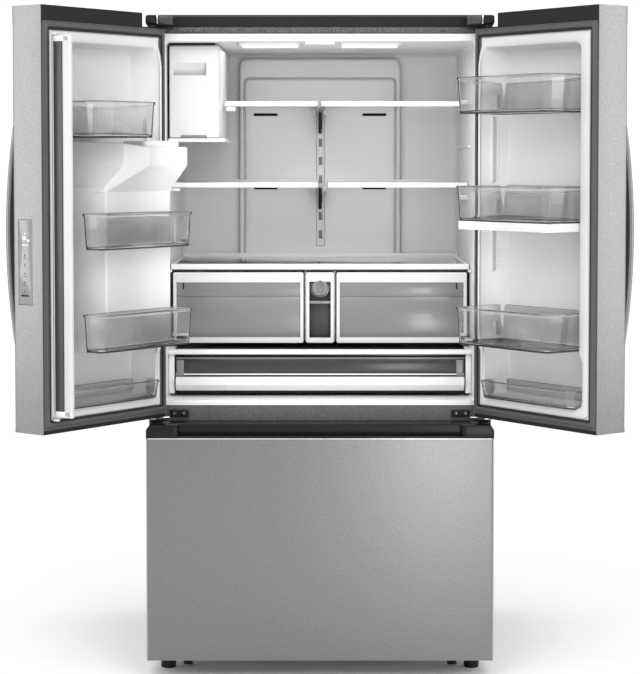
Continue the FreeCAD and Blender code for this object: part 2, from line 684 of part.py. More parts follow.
def make_rollers(node, y, radius, lift):
    """A pair of rollers on their axles."""
    wheels = []
    for hand in (-1, 1):
        centre = hand * dim.roller_x
        wheel = rod(f"{node}_wheel_{hand}", "x", radius, (centre - 11.5, y, radius + lift), 23)
        axle = rod(f"{node}_axle_{hand}", "x", 4, (centre - 20, y, radius + lift), 40)
        wheels.append(fuse(f"{node}_{hand}", [wheel, axle]))
    publish(node, wheels)


def make_foot(node, hand):
    """Levelling foot: a round pad with a neck that screws into the base."""
    owner = turned(node, [
        (0, 0), (dim.foot_radius - 2, 0), (dim.foot_radius, 2), (dim.foot_radius, dim.foot_height),
        (6, dim.foot_height), (6, dim.foot_stud_top), (0, dim.foot_stud_top)])
    owner.Label = node
    bind(owner, "Placement.Base.x", hand * dim.foot_x)
    bind(owner, "Placement.Base.y", dim.foot_y - dim.origin_setback)
    published.append(owner)


# ---- doors ----

def make_door_skin(node, hand):
    """Stainless sheet folded round the front and both upright edges."""
    sheet_block = box(f"{node}_block", across(hand, door_near, door_free), (door_front, door_back),
                      (dim.door_bottom, dim.door_top))
    inside = box(f"{node}_inside", across(hand, door_near + dim.skin, door_free - dim.skin),
                 (door_front + dim.skin, door_back + 1), (dim.door_bottom - 1, dim.door_top + 1))
    notch = box(f"{node}_notch", across(hand, door_near - 1, dim.notch_reach), (notch_front, door_back + 1),
                (dim.notch_floor, dim.door_top + 1))
    tools = [inside, notch]
    if hand > 0:
        tools.append(niche_box(f"{node}_niche", 0))
        tools.append(box(f"{node}_panel_hole", (door_free - 5, door_free + 1),
                         (door_front + dim.panel_front, door_front + dim.panel_back),
                         (dim.panel_low, dim.panel_high)))
    publish_on_door(node, [cut(f"{node}_sheet", sheet_block, tools)], hand)


def niche_box(name, wall):
    """The dispenser's room in the left door, grown by a wall thickness."""
    return box(name, (niche_x - dim.niche_half - wall, niche_x + dim.niche_half + wall),
               (door_front - 1, door_front + dim.niche_depth + wall),
               (dim.niche_low - wall, dim.niche_high + wall))


def make_end_caps(node, hand):
    """Moulded caps that close the door's top and bottom; each holds a hinge bore."""
    x = across(hand, door_near + dim.skin, door_free - dim.skin)
    y = (door_front + dim.skin, door_back)
    top = box(f"{node}_top", x, y, (dim.door_top - dim.cap_top_height, dim.door_top))
    notch = box(f"{node}_notch", across(hand, door_near, dim.notch_reach), (notch_front, door_back + 1),
                (dim.notch_floor, dim.door_top + 1))
    radius = dim.hinge_pin + dim.pin_clearance
    top_bore = rod(f"{node}_top_bore", "z", radius, (0, 0, dim.notch_floor - 10), 20)
    bottom = box(f"{node}_bottom", x, y, (dim.door_bottom, dim.door_bottom + dim.cap_bottom_height))
    bottom_bore = rod(f"{node}_bottom_bore", "z", radius, (0, 0, dim.door_bottom - 2), 11)
    upper = cut(f"{node}_upper", top, [notch, top_bore])
    lower = cut(f"{node}_lower", bottom, [bottom_bore])
    publish_on_door(node, [upper, lower], hand)


def make_door_liner(node, hand):
    """White liner with its foam: a flat back, a raised rim and the pocket that the bins hang in.
    The left one also carries the bulge behind the dispenser and the mullion's two pivots."""
    block = box(f"{node}_block", across(hand, door_near + dim.skin, door_free - dim.skin),
                (door_front + dim.skin, door_back),
                (dim.door_bottom + dim.cap_bottom_height, dim.door_top - dim.cap_top_height))
    rim = box(f"{node}_rim", across(hand, 0, rim_free), (door_back - 1, door_back + dim.rim_rise),
              (dim.rim_low, dim.rim_high))
    pocket = box(f"{node}_pocket", across(hand, pocket_near, pocket_free),
                 (door_back - dim.pocket_depth, door_back + 40), (dim.pocket_low, dim.pocket_high))
    shell = cut(f"{node}_shell", fuse(f"{node}_solid", [block, rim]), [pocket])
    if hand < 0:
        publish_on_door(node, [shell], hand)
        return
    bulge = box("dispenser_bulge", (door_free - dim.bin_near_edge, door_free - 105),
                (door_back - dim.pocket_depth - 1, door_back + dim.bulge_rise),
                (dim.bulge_low, dim.bulge_high))
    hollow = niche_box("liner_niche", 3)
    pivots = []
    for z, low, high in ((dim.mullion_high, 2, 7), (dim.mullion_low, -6, -1)):
        pivots.append(box(f"pivot_arm_{low}", (dim.mullion_axis_x - 7, dim.mullion_axis_x + 4),
                          (door_back + dim.rim_rise, dim.mullion_axis_y + 4), (z + low, z + high)))
    for end, z in (("top", dim.mullion_high - 10), ("bottom", dim.mullion_low - 4)):
        pivots.append(rod(f"pivot_pin_{end}", "z", 2.5, (dim.mullion_axis_x, dim.mullion_axis_y, z), 14))
    panel_seat = box("panel_seat", (door_free - dim.skin - 6, door_free),
                     (door_front + dim.panel_front, door_front + dim.panel_back),
                     (dim.panel_low, dim.panel_high))
    whole = cut("left_liner_cut", fuse("left_liner_fused", [shell, bulge] + pivots), [hollow, panel_seat])
    publish_on_door(node, [whole], hand)


def make_door_gasket(node, hand):
    """Magnetic seal round the rim."""
    y = (door_back, door_back + dim.gasket_rise)
    ring = box(f"{node}_ring", across(hand, door_near + 3, door_free - 4), y,
               (dim.rim_low - 22, dim.rim_high + 26))
    hole = box(f"{node}_hole", across(hand, -1, rim_free + 2), (door_back - 1, door_back + 20),
               (dim.rim_low - 4, dim.rim_high + 4))
    publish_on_door(node, [cut(f"{node}_seal", ring, [hole])], hand)


def make_handle(node, hand):
    """Bow handle: two arcs in side view that meet the door at both ends."""
    half = (dim.handle_high - dim.handle_low) / 2
    inner = half - dim.handle_foot
    rise = dim.handle_standoff
    inner_rise = rise - dim.handle_depth
    outer_radius = (half * half + rise * rise) / (2 * rise)
    inner_radius = (inner * inner + inner_rise * inner_rise) / (2 * inner_rise)
    middle = door_free - dim.handle_edge - dim.handle_width / 2
    owner = body(f"{node}_bow")
    profile = sketch(owner, "YZ_Plane", f"{node}_sketch", hand * middle - dim.handle_width / 2)
    outline(profile, [
        (door_front, dim.handle_low, outer_radius), (door_front, dim.handle_low + dim.handle_foot),
        (door_front, dim.handle_high - dim.handle_foot, -1 * inner_radius), (door_front, dim.handle_high)])
    pad(owner, profile, f"{node}_pad", dim.handle_width)
    publish_on_door(node, [owner], hand)


def door_bin(name, hand, n_back, n_front, low, high, near_edge):
    """Open-topped bin; its front corner towards the free edge is cut off at 45 degrees."""
    near = door_free - near_edge
    free = door_free - dim.bin_free_edge
    back, front = door_back + n_back, door_back + n_front
    wall = dim.bin_wall
    corner = dim.bin_corner

    def plan(inset):
        inner_corner = corner - inset * 0.4142
        points = [(near + inset, back + inset), (free - inset, back + inset),
                  (free - inset, front - inner_corner - inset), (free - inner_corner - inset, front - inset),
                  (near + inset, front - inset)]
        if hand < 0:
            points = [(-1 * x, y) for x, y in reversed(points)]
        return points

    outer = prism(f"{name}_outer", "XY_Plane", plan(as_size(0)), low, high)
    room = prism(f"{name}_room", "XY_Plane", plan(wall), low + wall, high + 1)
    return cut(name, outer, [room])


def make_door_bins(node, hand, rows):
    """The door's bins, one solid each; rows give each bin's back, front, low, high and near edge."""
    bins = [door_bin(f"{node}_{index}", hand, *row) for index, row in enumerate(rows)]
    publish_on_door(node, bins, hand)


def make_ice_chute():
    """Housing on the left door that leads ice from the maker down to the dispenser."""
    x = (door_free - 400, door_free - 84)
    block = box("chute_block", x, (door_back + 2, door_back + dim.chute_rise),
                (dim.bulge_high, dim.chute_high))
    shaft = box("chute_shaft", (door_free - 330, door_free - 200), (door_back + 30, door_back + 105),
                (dim.bulge_high + 20, dim.chute_high + 1))
    seat = box("chute_back", x, (door_back - dim.pocket_depth, door_back + 3),
               (dim.bulge_high, dim.chute_high - 60))
    publish_on_door("ice_chute", [cut("chute", fuse("chute_body", [block, seat]), [shaft])], 1)


def make_mullion():
    """Flipper mullion: a steel-faced bar on the left door that turns to bridge the gap."""
    x = (dim.mullion_axis_x + 4 - dim.mullion_thick, dim.mullion_axis_x + 4)
    y = (dim.mullion_axis_y - 5, dim.mullion_axis_y - 5 + dim.mullion_span)
    bar = box("mullion_bar", x, y, (dim.mullion_low, dim.mullion_high))
    bores = [rod(f"mullion_bore_{index}", "z", 2.5 + dim.pin_clearance,
                 (dim.mullion_axis_x, dim.mullion_axis_y, z), 12)
             for index, z in enumerate((dim.mullion_low - 1, dim.mullion_high - 11))]
    publish_on_door("flipper_mullion", [cut("mullion", bar, bores)], 1)


def make_control_panel():
    """Glass touch strip set in the left door's free edge."""
    glass = box("panel_glass", (door_free - 5, door_free),
                (door_front + dim.panel_front + 0.5, door_front + dim.panel_back - 0.5),
                (dim.panel_low + 0.5, dim.panel_high - 0.5))
    board = box("panel_board", (door_free - 7, door_free - 5),
                (door_front + dim.panel_front + 6, door_front + dim.panel_back - 6),
                (dim.panel_low + 9, dim.panel_high - 9))
    publish_on_door("control_panel", [fuse("panel_body", [glass, board])], 1)


def make_dispenser_housing():
    """Moulded niche in the left door's front, with the nozzle over its middle."""
    outer = box("niche_shell", (niche_x - dim.niche_half - 3, niche_x + dim.niche_half + 3),
                (door_front + dim.skin, door_front + dim.niche_depth + 3),
                (dim.niche_low - 3, dim.niche_high + 3))
    bezel = box("niche_bezel", (niche_x - dim.niche_half, niche_x + dim.niche_half),
                (door_front, door_front + 3), (dim.niche_low, dim.niche_high))
    room = box("niche_room", (niche_x - dim.niche_half + 4, niche_x + dim.niche_half - 4),
               (door_front - 2, door_front + dim.niche_depth), (dim.niche_low + 4, dim.niche_high - 90))
    nozzle = rod("nozzle", "z", 14, (niche_x, door_front + 48, dim.niche_high - 104), 15)
    outlet = rod("nozzle_outlet", "z", 10, (niche_x, door_front + 48, dim.niche_high - 106), 12)
    ears = [box(f"paddle_ear_{index}", (niche_x - 31 + 57 * index, niche_x - 26 + 57 * index),
                (door_front + 66, door_front + 80), (dim.niche_high - 104, dim.niche_high - 89))
            for index in range(2)]
    bore = rod("paddle_bore", "x", 2.55, (niche_x - 40, door_front + 73, dim.niche_high - 97), 80)
    walls = cut("niche_walls", fuse("niche_blocks", [outer, bezel]), [room])
    parts = fuse("niche_parts", [walls, nozzle] + ears)
    publish_on_door("dispenser_housing", [cut("niche", parts, [bore, outlet])], 1)


def make_dispenser_paddle():
    """Paddle that a glass pushes back; it hangs on its pin between two ears."""
    plate = box("paddle_plate", (niche_x - 24, niche_x + 24), (door_front + 71, door_front + 75),
                (dim.niche_low + 70, dim.niche_high - 96))
    pin = rod("paddle_pin", "x", 2.5, (niche_x - 31, door_front + 73, dim.niche_high - 97), 62)
    publish_on_door("dispenser_paddle", [fuse("paddle", [plate, pin])], 1)


def make_drip_tray():
    tray = box("tray_block", (niche_x - dim.niche_half + 6, niche_x + dim.niche_half - 6),
               (door_front + 2, door_front + 60), (dim.niche_low + 4.5, dim.niche_low + 18))
    room = box("tray_room", (niche_x - dim.niche_half + 9, niche_x + dim.niche_half - 9),
               (door_front + 5, door_front + 57), (dim.niche_low + 7, dim.niche_low + 19))
    publish_on_door("drip_tray", [cut("tray", tray, [room])], 1)


# ---- freezer drawer ----

def make_drawer_skin():
    """Stainless front folded round both upright edges."""
    block = box("drawer_skin_block", (-case_half, case_half), (drawer_front, -1 * dim.door_gap),
                (dim.drawer_low, dim.drawer_seam))
    room = box("drawer_skin_room", (dim.skin - case_half, case_half - dim.skin),
               (drawer_front + dim.skin, 0), (dim.drawer_low + dim.skin, dim.drawer_seam + 1))
    publish("drawer_skin", [cut("drawer_sheet", block, [room])])


def make_drawer_top_trim():
    """Dark top trim whose front is scooped out between two rounded ends to make the grip."""
    radius = 16
    trim = box("trim_block", (-case_half, case_half), (drawer_front, -1 * dim.door_gap),
               (dim.drawer_seam, dim.drawer_top))
    scoop = box("trim_scoop", (-1 * dim.scoop_half, dim.scoop_half),
                (drawer_front - 1, drawer_front + dim.scoop_depth),
                (dim.drawer_seam + 6, dim.drawer_top + 1))
    under = box("trim_under", (-1 * dim.scoop_half, dim.scoop_half),
                (drawer_front + 8, drawer_front + dim.scoop_depth + 12),
                (dim.drawer_seam + 6, dim.drawer_top - 12))
    ends = [rod(f"trim_end_{index}", "z", radius,
                (hand * dim.scoop_half, drawer_front + radius, dim.drawer_seam),
                dim.drawer_top - dim.drawer_seam) for index, hand in enumerate((-1, 1))]
    scooped = cut("trim_scooped", trim, [scoop, under])
    publish("drawer_top_trim", [fuse("trim", [scooped] + ends)])


def make_drawer_core():
    """Foam-filled inner panel of the drawer front, with the plug that enters the freezer's mouth."""
    core = box("core_block", (dim.skin - case_half, case_half - dim.skin),
               (drawer_front + dim.skin, -1 * dim.door_gap), (dim.drawer_low + dim.skin, dim.drawer_seam))
    plug = box("core_plug", (18 - opening_half, opening_half - 18), (-1 * dim.door_gap, -2),
               (dim.freezer_lip_low + 24, dim.freezer_lip_high - 34))
    publish("drawer_core", [fuse("core", [core, plug])])


def make_drawer_gasket():
    y = (-1 * dim.door_gap, -1 * dim.door_gap + dim.gasket_rise)
    ring = box("drawer_ring", (4 - case_half, case_half - 4), y,
               (dim.freezer_lip_low - 20, dim.drawer_top - 1))
    hole = box("drawer_ring_hole", (16 - opening_half, opening_half - 16), (-1 * dim.door_gap - 1, 0),
               (dim.freezer_lip_low + 22, dim.freezer_lip_high - 8))
    publish("drawer_gasket", [cut("drawer_seal", ring, [hole])])


def make_freezer_basket():
    """Deep basket hung between the rails."""
    publish("freezer_basket", [hollow_box("deep_basket", (-1 * dim.basket_half, dim.basket_half),
                                          (-2, dim.basket_back), (dim.basket_low, dim.basket_high), 3, "+z")])


def make_upper_basket():
    """Shallow basket that slides on the deep basket's rim."""
    half = dim.basket_half - 6
    publish("upper_basket", [hollow_box("shallow_basket", (-1 * half, half), (0, dim.upper_basket_depth),
                                        (dim.upper_basket_low, dim.upper_basket_high), 3, "+z")])


def rail_pair(node, inner, outer, front, back, inset):
    """One stage of both telescopic rails."""
    low, high = dim.rail_low + inset, dim.rail_low + dim.rail_height - inset
    publish(node, [box(f"{node}_bar_{index}", span, (front, back), (low, high))
                   for index, span in enumerate(both(inner, outer))])


# ---- assembly ----

bin_back = 4 - dim.pocket_depth
bulge_front = dim.bulge_rise + 0.5
full = dim.bin_near_edge
# the left door's top bin is short, so that it passes beside the ice maker
door_bin_rows_left = [
    (bin_back, dim.bin_reach_left, 1414, 1502, dim.top_bin_near_edge),
    (bulge_front, dim.bin_reach_left, 1139, 1227, full),
    (bulge_front, dim.bin_reach_left, 888, 980, full),
    (bin_back, 30, 742, 788, full),
]
door_bin_rows_right = [
    (bin_back, dim.bin_reach_right, 1476, 1569, full),
    (bin_back, dim.bin_reach_right, 1203, 1292, full),
    (bin_back, dim.bin_reach_right, 886, 981, full),
    (bin_back, 30, 742, 787, full),
]

make_outer_case()
make_back_cover()
make_insulation()
make_food_liner()
make_freezer_liner()
make_top_cover()
make_upper_hinges()
make_center_hinges()
make_ceiling_lamps()
make_duct_cover()
make_shelves()
make_crisper_cover()
make_filter_housing()
make_filter_cartridge()
make_crisper("left_crisper", -1)
make_crisper("right_crisper", 1)
make_pantry_cover()
make_pantry_drawer()
make_ice_maker_housing()
make_ice_bucket()
make_evaporator()
fan("evaporator_fan", 0, 522, fan_z, 54, 7)
make_compressor()
make_condenser()
fan("condenser_fan", -30, 630, 170, 58, 5)
make_machine_cover()
make_water_valve()
make_base_frame()
make_rollers("front_rollers", dim.front_axle_y, dim.roller_radius, 2)
make_rollers("rear_rollers", dim.rear_axle_y, dim.rear_roller_radius, 0)
make_foot("left_levelling_foot", -1)
make_foot("right_levelling_foot", 1)
rail_pair("drawer_fixed_rails", 401, inner_half, 30, 30 + dim.rail_length, 0)
rail_pair("drawer_middle_rails", 390, 400, 20, 20 + dim.rail_length, 3)
rail_pair("drawer_inner_rails", 376, 389, -2, dim.rail_length, 6)
make_drawer_skin()
make_drawer_top_trim()
make_drawer_core()
make_drawer_gasket()
make_freezer_basket()
make_upper_basket()
for side, hand, rows in (("left", 1, door_bin_rows_left), ("right", -1, door_bin_rows_right)):
    make_door_skin(f"{side}_door_skin", hand)
    make_end_caps(f"{side}_door_end_caps", hand)
    make_door_liner(f"{side}_door_liner", hand)
    make_door_gasket(f"{side}_door_gasket", hand)
    make_handle(f"{side}_door_handle", hand)
    make_door_bins(f"{side}_door_bins", hand, rows)
make_ice_chute()
make_mullion()
make_control_panel()
make_dispenser_housing()
make_dispenser_paddle()
make_drip_tray()

doc.recompute()
faults = [item.Label for item in doc.Objects if "Invalid" in item.State or "Error" in item.State]
faults += [item.Label for item in published if item.Shape.isNull() or not item.Shape.isValid()]
if faults:
    raise RuntimeError(f"failed objects: {faults}")

os.makedirs("parts", exist_ok=True)
for item in published:
    item.Shape.exportStep(f"parts/{item.Label}.step")
    print(f"{item.Label}: {len(item.Shape.Solids)} solids, {item.Shape.Volume / 1000:.1f} cm3")
print(len(published), "sub-parts")
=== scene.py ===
import json
import math

import bpy
from mathutils import Matrix, Vector


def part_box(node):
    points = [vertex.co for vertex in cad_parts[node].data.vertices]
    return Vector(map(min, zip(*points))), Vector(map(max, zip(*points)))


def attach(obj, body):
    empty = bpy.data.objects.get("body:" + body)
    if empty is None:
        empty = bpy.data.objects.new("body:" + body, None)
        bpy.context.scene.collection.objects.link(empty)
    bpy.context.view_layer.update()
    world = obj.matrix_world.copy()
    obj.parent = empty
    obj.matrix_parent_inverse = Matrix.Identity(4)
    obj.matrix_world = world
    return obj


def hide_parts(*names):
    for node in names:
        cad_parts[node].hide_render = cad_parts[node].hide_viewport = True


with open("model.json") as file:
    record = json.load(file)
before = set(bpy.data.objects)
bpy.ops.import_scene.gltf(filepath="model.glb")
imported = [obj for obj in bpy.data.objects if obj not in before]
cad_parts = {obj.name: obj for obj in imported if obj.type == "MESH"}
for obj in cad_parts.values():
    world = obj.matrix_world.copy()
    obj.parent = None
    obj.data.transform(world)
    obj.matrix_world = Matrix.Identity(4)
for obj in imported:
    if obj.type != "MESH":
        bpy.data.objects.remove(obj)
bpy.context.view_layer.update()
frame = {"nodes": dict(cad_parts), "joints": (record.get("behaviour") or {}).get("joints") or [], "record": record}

# French door refrigerator, doors open, freezer drawer closed.
# Pieces are drawn in millimetres in one of two frames and placed by a matrix:
# CABINET has Y = 0 on the cabinet's front plane; a door's own frame is that of the closed door,
# x from the hinge axis to the free edge, y into the cabinet. Z = 0 is the floor in both.

MM = 0.001
CABINET = Matrix.Translation((0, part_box("outer_case")[0].y, 0)) @ Matrix.Scale(MM, 4)


def door_matrix(side, hand):
    """The open door's place at rest, from its hinge joint."""
    joint = [item for item in frame["joints"] if item["name"] == f"{side}_door_hinge"][0]
    x, y, _ = joint["pos_m"]
    turn = Matrix.Rotation(math.radians(hand * joint["range_deg"][0]), 4, "Z")
    mirror = Matrix.Scale(hand, 4, (1, 0, 0))
    return Matrix.Translation((x, y, 0)) @ turn @ Matrix.Scale(MM, 4) @ mirror


DOOR = {"left": door_matrix("left", 1), "right": door_matrix("right", -1)}


# ---- outlines ----

def rect(x0, x1, y0, y1):
    return [(x0, y0), (x1, y0), (x1, y1), (x0, y1)]


def offset(points, distance):
    """Move an anticlockwise outline's sides inwards by a distance."""
    result = []
    count = len(points)
    for index in range(count):
        before, here, after = (Vector(points[(index + step) % count]) for step in (-1, 0, 1))
        first = (here - before).normalized()
        second = (after - here).normalized()
        normal_a = Vector((-first.y, first.x))
        normal_b = Vector((-second.y, second.x))
        mean = normal_a + normal_b
        result.append(tuple(here + mean * (distance / max(1 + normal_a.dot(normal_b), 0.1))))
    return result


def rounded(points, radii, steps=6):
    """Round an outline's corners; every corner gives steps + 1 points."""
    result = []
    count = len(points)
    for index in range(count):
        radius = radii[index] if isinstance(radii, (list, tuple)) else radii
        radius = max(radius, 0.15)
        before, here, after = (Vector(points[(index + step) % count]) for step in (-1, 0, 1))
        to_before, to_after = before - here, after - here
        angle = to_before.angle(to_after)
        reach = min(radius / max(math.tan(angle / 2), 1e-3), 0.48 * to_before.length,
                0.48 * to_after.length)
        start = here + to_before.normalized() * reach
        end = here + to_after.normalized() * reach
        for step in range(steps + 1):
            share = step / steps
            low = start.lerp(here, share)
            high = here.lerp(end, share)
            result.append(tuple(low.lerp(high, share)))
    return result


PLACES = {
    "x": lambda u, v, w: (w, u, v),
    "y": lambda u, v, w: (u, w, v),
    "z": lambda u, v, w: (u, v, w),
}


# ---- solids ----

class Shape:
    """Vertices and faces of one piece, in millimetres."""

    def __init__(self):
        self.verts = []
        self.faces = []

    def loft(self, loops, caps=True, ring=False):
        """Join closed loops of equal length; caps close the two ends, ring joins the last to the first."""
        base = len(self.verts)
        size = len(loops[0])
        for loop in loops:
            self.verts.extend(loop)
        for level in range(len(loops) - (0 if ring else 1)):
            low = base + level * size
            high = base + (level + 1) % len(loops) * size
            for index in range(size):
                after = (index + 1) % size
                self.faces.append((low + index, low + after, high + after, high + index))
        if caps and not ring:
            self.faces.append(tuple(reversed(range(base, base + size))))
            last = base + (len(loops) - 1) * size
            self.faces.append(tuple(range(last, last + size)))
        return self

    def slab(self, corners, axis, low, high, radius=1.0, edge=0.8, steps=4):
        """A prism along an axis with rounded upright corners and eased edges."""
        levels = [(low, edge), (low + 0.3 * edge, 0.3 * edge), (low + edge, 0),
                  (high - edge, 0), (high - 0.3 * edge, 0.3 * edge), (high, edge)]
        loops = []
        for level, inset in levels:
            outline = rounded(offset(corners, inset), radius, steps)
            loops.append([PLACES[axis](u, v, level) for u, v in outline])
        return self.loft(loops)

    def box(self, x, y, z, radius=1.0, edge=0.8):
        return self.slab(rect(*x, *y), "z", *z, radius, min(edge, 0.45 * (z[1] - z[0])), 3)

    def frame(self, outer, inner, axis, low, high, radius=4.0, inner_radius=3.0, edge=0.8, steps=4):
        """A flat ring between two outlines."""
        levels = [(outer, edge, low, radius), (outer, 0, low + edge, radius),
                (outer, 0, high - edge, radius),
                  (outer, edge, high, radius), (inner, -edge, high, inner_radius), (inner, 0,
                          high - edge, inner_radius),
                  (inner, 0, low + edge, inner_radius), (inner, -edge, low, inner_radius)]
        loops = []
        for corners, inset, level, turn in levels:
            outline = rounded(offset(corners, inset), turn, steps)
            loops.append([PLACES[axis](u, v, level) for u, v in outline])
        return self.loft(loops, ring=True)

    def lathe(self, centre, axis, profile, sides=28):
        """Turn (radius, height) points about an axis through centre; the ends are closed."""
        loops = []
        for radius, height in profile:
            loop = []
            for index in range(sides):
                angle = 2 * math.pi * index / sides
                point = PLACES[axis](radius * math.cos(angle), radius * math.sin(angle), height)
                loop.append(tuple(Vector(point) + Vector(centre)))
            loops.append(loop)
        return self.loft(loops)


def mesh_object(name, shape, place):
    """Link a shape's object into the scene, with its normals facing out."""
    mesh = bpy.data.meshes.new(name)
    mesh.from_pydata(shape.verts, [], shape.faces)
    mesh.transform(place)
    item = bpy.data.objects.new(name, mesh)
    bpy.context.scene.collection.objects.link(item)
    bpy.context.view_layer.objects.active = item
    item.select_set(True)
    bpy.ops.object.mode_set(mode="EDIT")
    bpy.ops.mesh.select_all(action="SELECT")
    bpy.ops.mesh.normals_make_consistent(inside=False)
    bpy.ops.object.mode_set(mode="OBJECT")
    item.select_set(False)
    return item


def piece(name, shape, place, body, slot, replaces=(), sharp=32, wall=0):
    """Turn a shape into an object that rides a body and wears its slot's material."""
    item = mesh_object(name, shape, place)
    if wall:
        sheet = item.modifiers.new("thickness", "SOLIDIFY")
        sheet.thickness = wall * MM
        sheet.offset = 0
        bake(item)
    finish_mesh(item, sharp)
    mesh = item.data
    mesh.materials.append(MATERIALS[slot])
    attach(item, body)
    if replaces:
        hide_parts(*replaces)
    return item


def bake(item):
    """Replace an object's mesh with its modified one."""
    bpy.context.view_layer.update()
    evaluated = item.evaluated_get(bpy.context.evaluated_depsgraph_get())
    mesh = bpy.data.meshes.new_from_object(evaluated)
    item.modifiers.clear()
    item.data = mesh


def finish_mesh(item, sharp):
    item.data.shade_smooth()
    item.data.set_sharp_from_angle(angle=math.radians(sharp))


def carve(item, cutters, place, sharp=32):
    """Cut closed shapes out of an object."""
    for index, shape in enumerate(cutters):
        tool = mesh_object(f"cutter_{index}", shape, place)
        step = item.modifiers.new("cut", "BOOLEAN")
        step.operation = "DIFFERENCE"
        step.solver = "EXACT"
        step.object = tool
        bake(item)
        bpy.data.objects.remove(tool)
    finish_mesh(item, sharp)
    return item


# ---- materials ----

def surface(slot, colour, roughness, metallic=0.0, vary=0.04, grain=60.0, bump=0.1, bump_grain=400.0,
        stretch=(1, 1, 1),
            **sockets):
    """A procedural finish: colour and roughness that vary over the surface, and a fine bump."""
    made = bpy.data.materials.new(slot)
    made.use_nodes = True
    nodes, links = made.node_tree.nodes, made.node_tree.links
    shader = nodes["Principled BSDF"]
    place = nodes.new("ShaderNodeTexCoord")
    mapping = nodes.new("ShaderNodeMapping")
    mapping.inputs["Scale"].default_value = stretch
    links.new(place.outputs["Object"], mapping.inputs["Vector"])
    patch = nodes.new("ShaderNodeTexNoise")
    patch.inputs["Scale"].default_value = grain
    patch.inputs["Detail"].default_value = 6
    links.new(mapping.outputs["Vector"], patch.inputs["Vector"])
    ramp = nodes.new("ShaderNodeValToRGB")
    ramp.color_ramp.elements[0].position = 0.3
    ramp.color_ramp.elements[1].position = 0.7
    ramp.color_ramp.elements[0].color = tuple(value * (1 - vary) for value in colour) + (1,)
    ramp.color_ramp.elements[1].color = tuple(min(value * (1 + vary), 1) for value in colour) + (1,)
    links.new(patch.outputs["Fac"], ramp.inputs["Fac"])
    links.new(ramp.outputs["Color"], shader.inputs["Base Color"])
    spread = nodes.new("ShaderNodeMapRange")
    spread.inputs["To Min"].default_value = roughness * 0.85
    spread.inputs["To Max"].default_value = min(roughness * 1.15, 1)
    links.new(patch.outputs["Fac"], spread.inputs["Value"])
    links.new(spread.outputs["Result"], shader.inputs["Roughness"])
    fine = nodes.new("ShaderNodeTexNoise")
    fine.inputs["Scale"].default_value = bump_grain
    fine.inputs["Detail"].default_value = 3
    links.new(mapping.outputs["Vector"], fine.inputs["Vector"])
    relief = nodes.new("ShaderNodeBump")
    relief.inputs["Strength"].default_value = bump
    relief.inputs["Distance"].default_value = 0.0004
    links.new(fine.outputs["Fac"], relief.inputs["Height"])
    links.new(relief.outputs["Normal"], shader.inputs["Normal"])
    shader.inputs["Metallic"].default_value = metallic
    for name, value in sockets.items():
        shader.inputs[name.replace("_", " ")].default_value = value
    return made


def grey(value, tint=(1.0, 1.0, 1.0)):
    return tuple(value * part for part in tint)


def look(*values, **sockets):
    """The arguments of surface after the slot's name."""
    return values, sockets


FINISHES = {
    "case_steel": look(grey(0.085), 0.5, 0.0, 0.22, 150, 0.9, 260, Specular_IOR_Level=0.35),
    "stainless": look(grey(0.195), 0.34, 1.0, 0.2, 330, 0.1, 900),
    "dark_trim": look((0.008, 0.0065, 0.006), 0.26, 0.0, 0.12, 30, 0.05, 500, Specular_IOR_Level=0.2),
    "hinge_steel": look(grey(0.05), 0.3, 0.9, 0.15, 80, 0.1, 600),
    "black_cover": look(grey(0.012), 0.5, 0.0, 0.15, 90, 0.3, 900, Specular_IOR_Level=0.15),
    "white_liner": look(grey(0.7), 0.32, 0.0, 0.008, 5, 0.02, 300),
    "door_back": look(grey(0.57), 0.3, 0.0, 0.008, 5, 0.02, 300),
    "foam": look((0.75, 0.68, 0.45), 0.85, 0.0, 0.1, 60, 0.6, 250),
    "gasket_grey": look(grey(0.075), 0.6, 0.0, 0.06, 50, 0.12, 500, Specular_IOR_Level=0.3),
    "lamp_lens": look(grey(0.85), 0.3, 0.0, 0.02, 40, 0.1, 400, Emission_Color=(1, 1, 1, 1),
            Emission_Strength=1.0),
    "shelf_glass": look(grey(0.96, (0.97, 1, 0.98)), 0.02, 0.0, 0.01, 20, 0.0, 300,
            Transmission_Weight=1.0, IOR=1.3),
    "bin_clear": look(grey(0.9), 0.03, 0.0, 0.01, 20, 0.02, 200, Transmission_Weight=1.0, IOR=1.46),
    "crisper_clear": look(grey(0.155), 0.24, 0.0, 0.02, 8, 0.03, 600, Coat_Weight=0.3,
            Coat_Roughness=0.1),
    "smoked": look(grey(0.022), 0.2, 0.0, 0.05, 30, 0.02, 400, Specular_IOR_Level=0.45),
    "galvanised": look(grey(0.45), 0.42, 0.8, 0.14, 70, 0.1, 300),
    "copper_tube": look((0.72, 0.36, 0.2), 0.32, 1.0, 0.12, 60, 0.1, 400),
    "coil_aluminium": look(grey(0.68), 0.35, 1.0, 0.08, 90, 0.1, 500),
    "fan_plastic": look(grey(0.05), 0.4, 0.0, 0.08, 50, 0.1, 400),
    "black_enamel": look(grey(0.015), 0.25, 0.0, 0.2, 40, 0.15, 200, Coat_Weight=0.5),
    "rail_steel": look(grey(0.6), 0.28, 1.0, 0.06, 90, 0.06, 500, (1, 0.1, 1)),
    "roller_plastic": look(grey(0.02), 0.5, 0.0, 0.08, 60, 0.2, 400, Specular_IOR_Level=0.3),
    "panel_glass": look(grey(0.22), 0.1, 0.0, 0.03, 20, 0.0, 300, Coat_Weight=0.5, Coat_Roughness=0.05),
    "dispenser_grey": look(grey(0.035), 0.34, 0.0, 0.06, 40, 0.08, 500, Specular_IOR_Level=0.35),
    "mullion_steel": look(grey(0.085), 0.38, 0.6, 0.06, 500, 0.08, 900),
}
MATERIALS = {slot: surface(slot, *values, **sockets) for slot, (values, sockets) in FINISHES.items()}

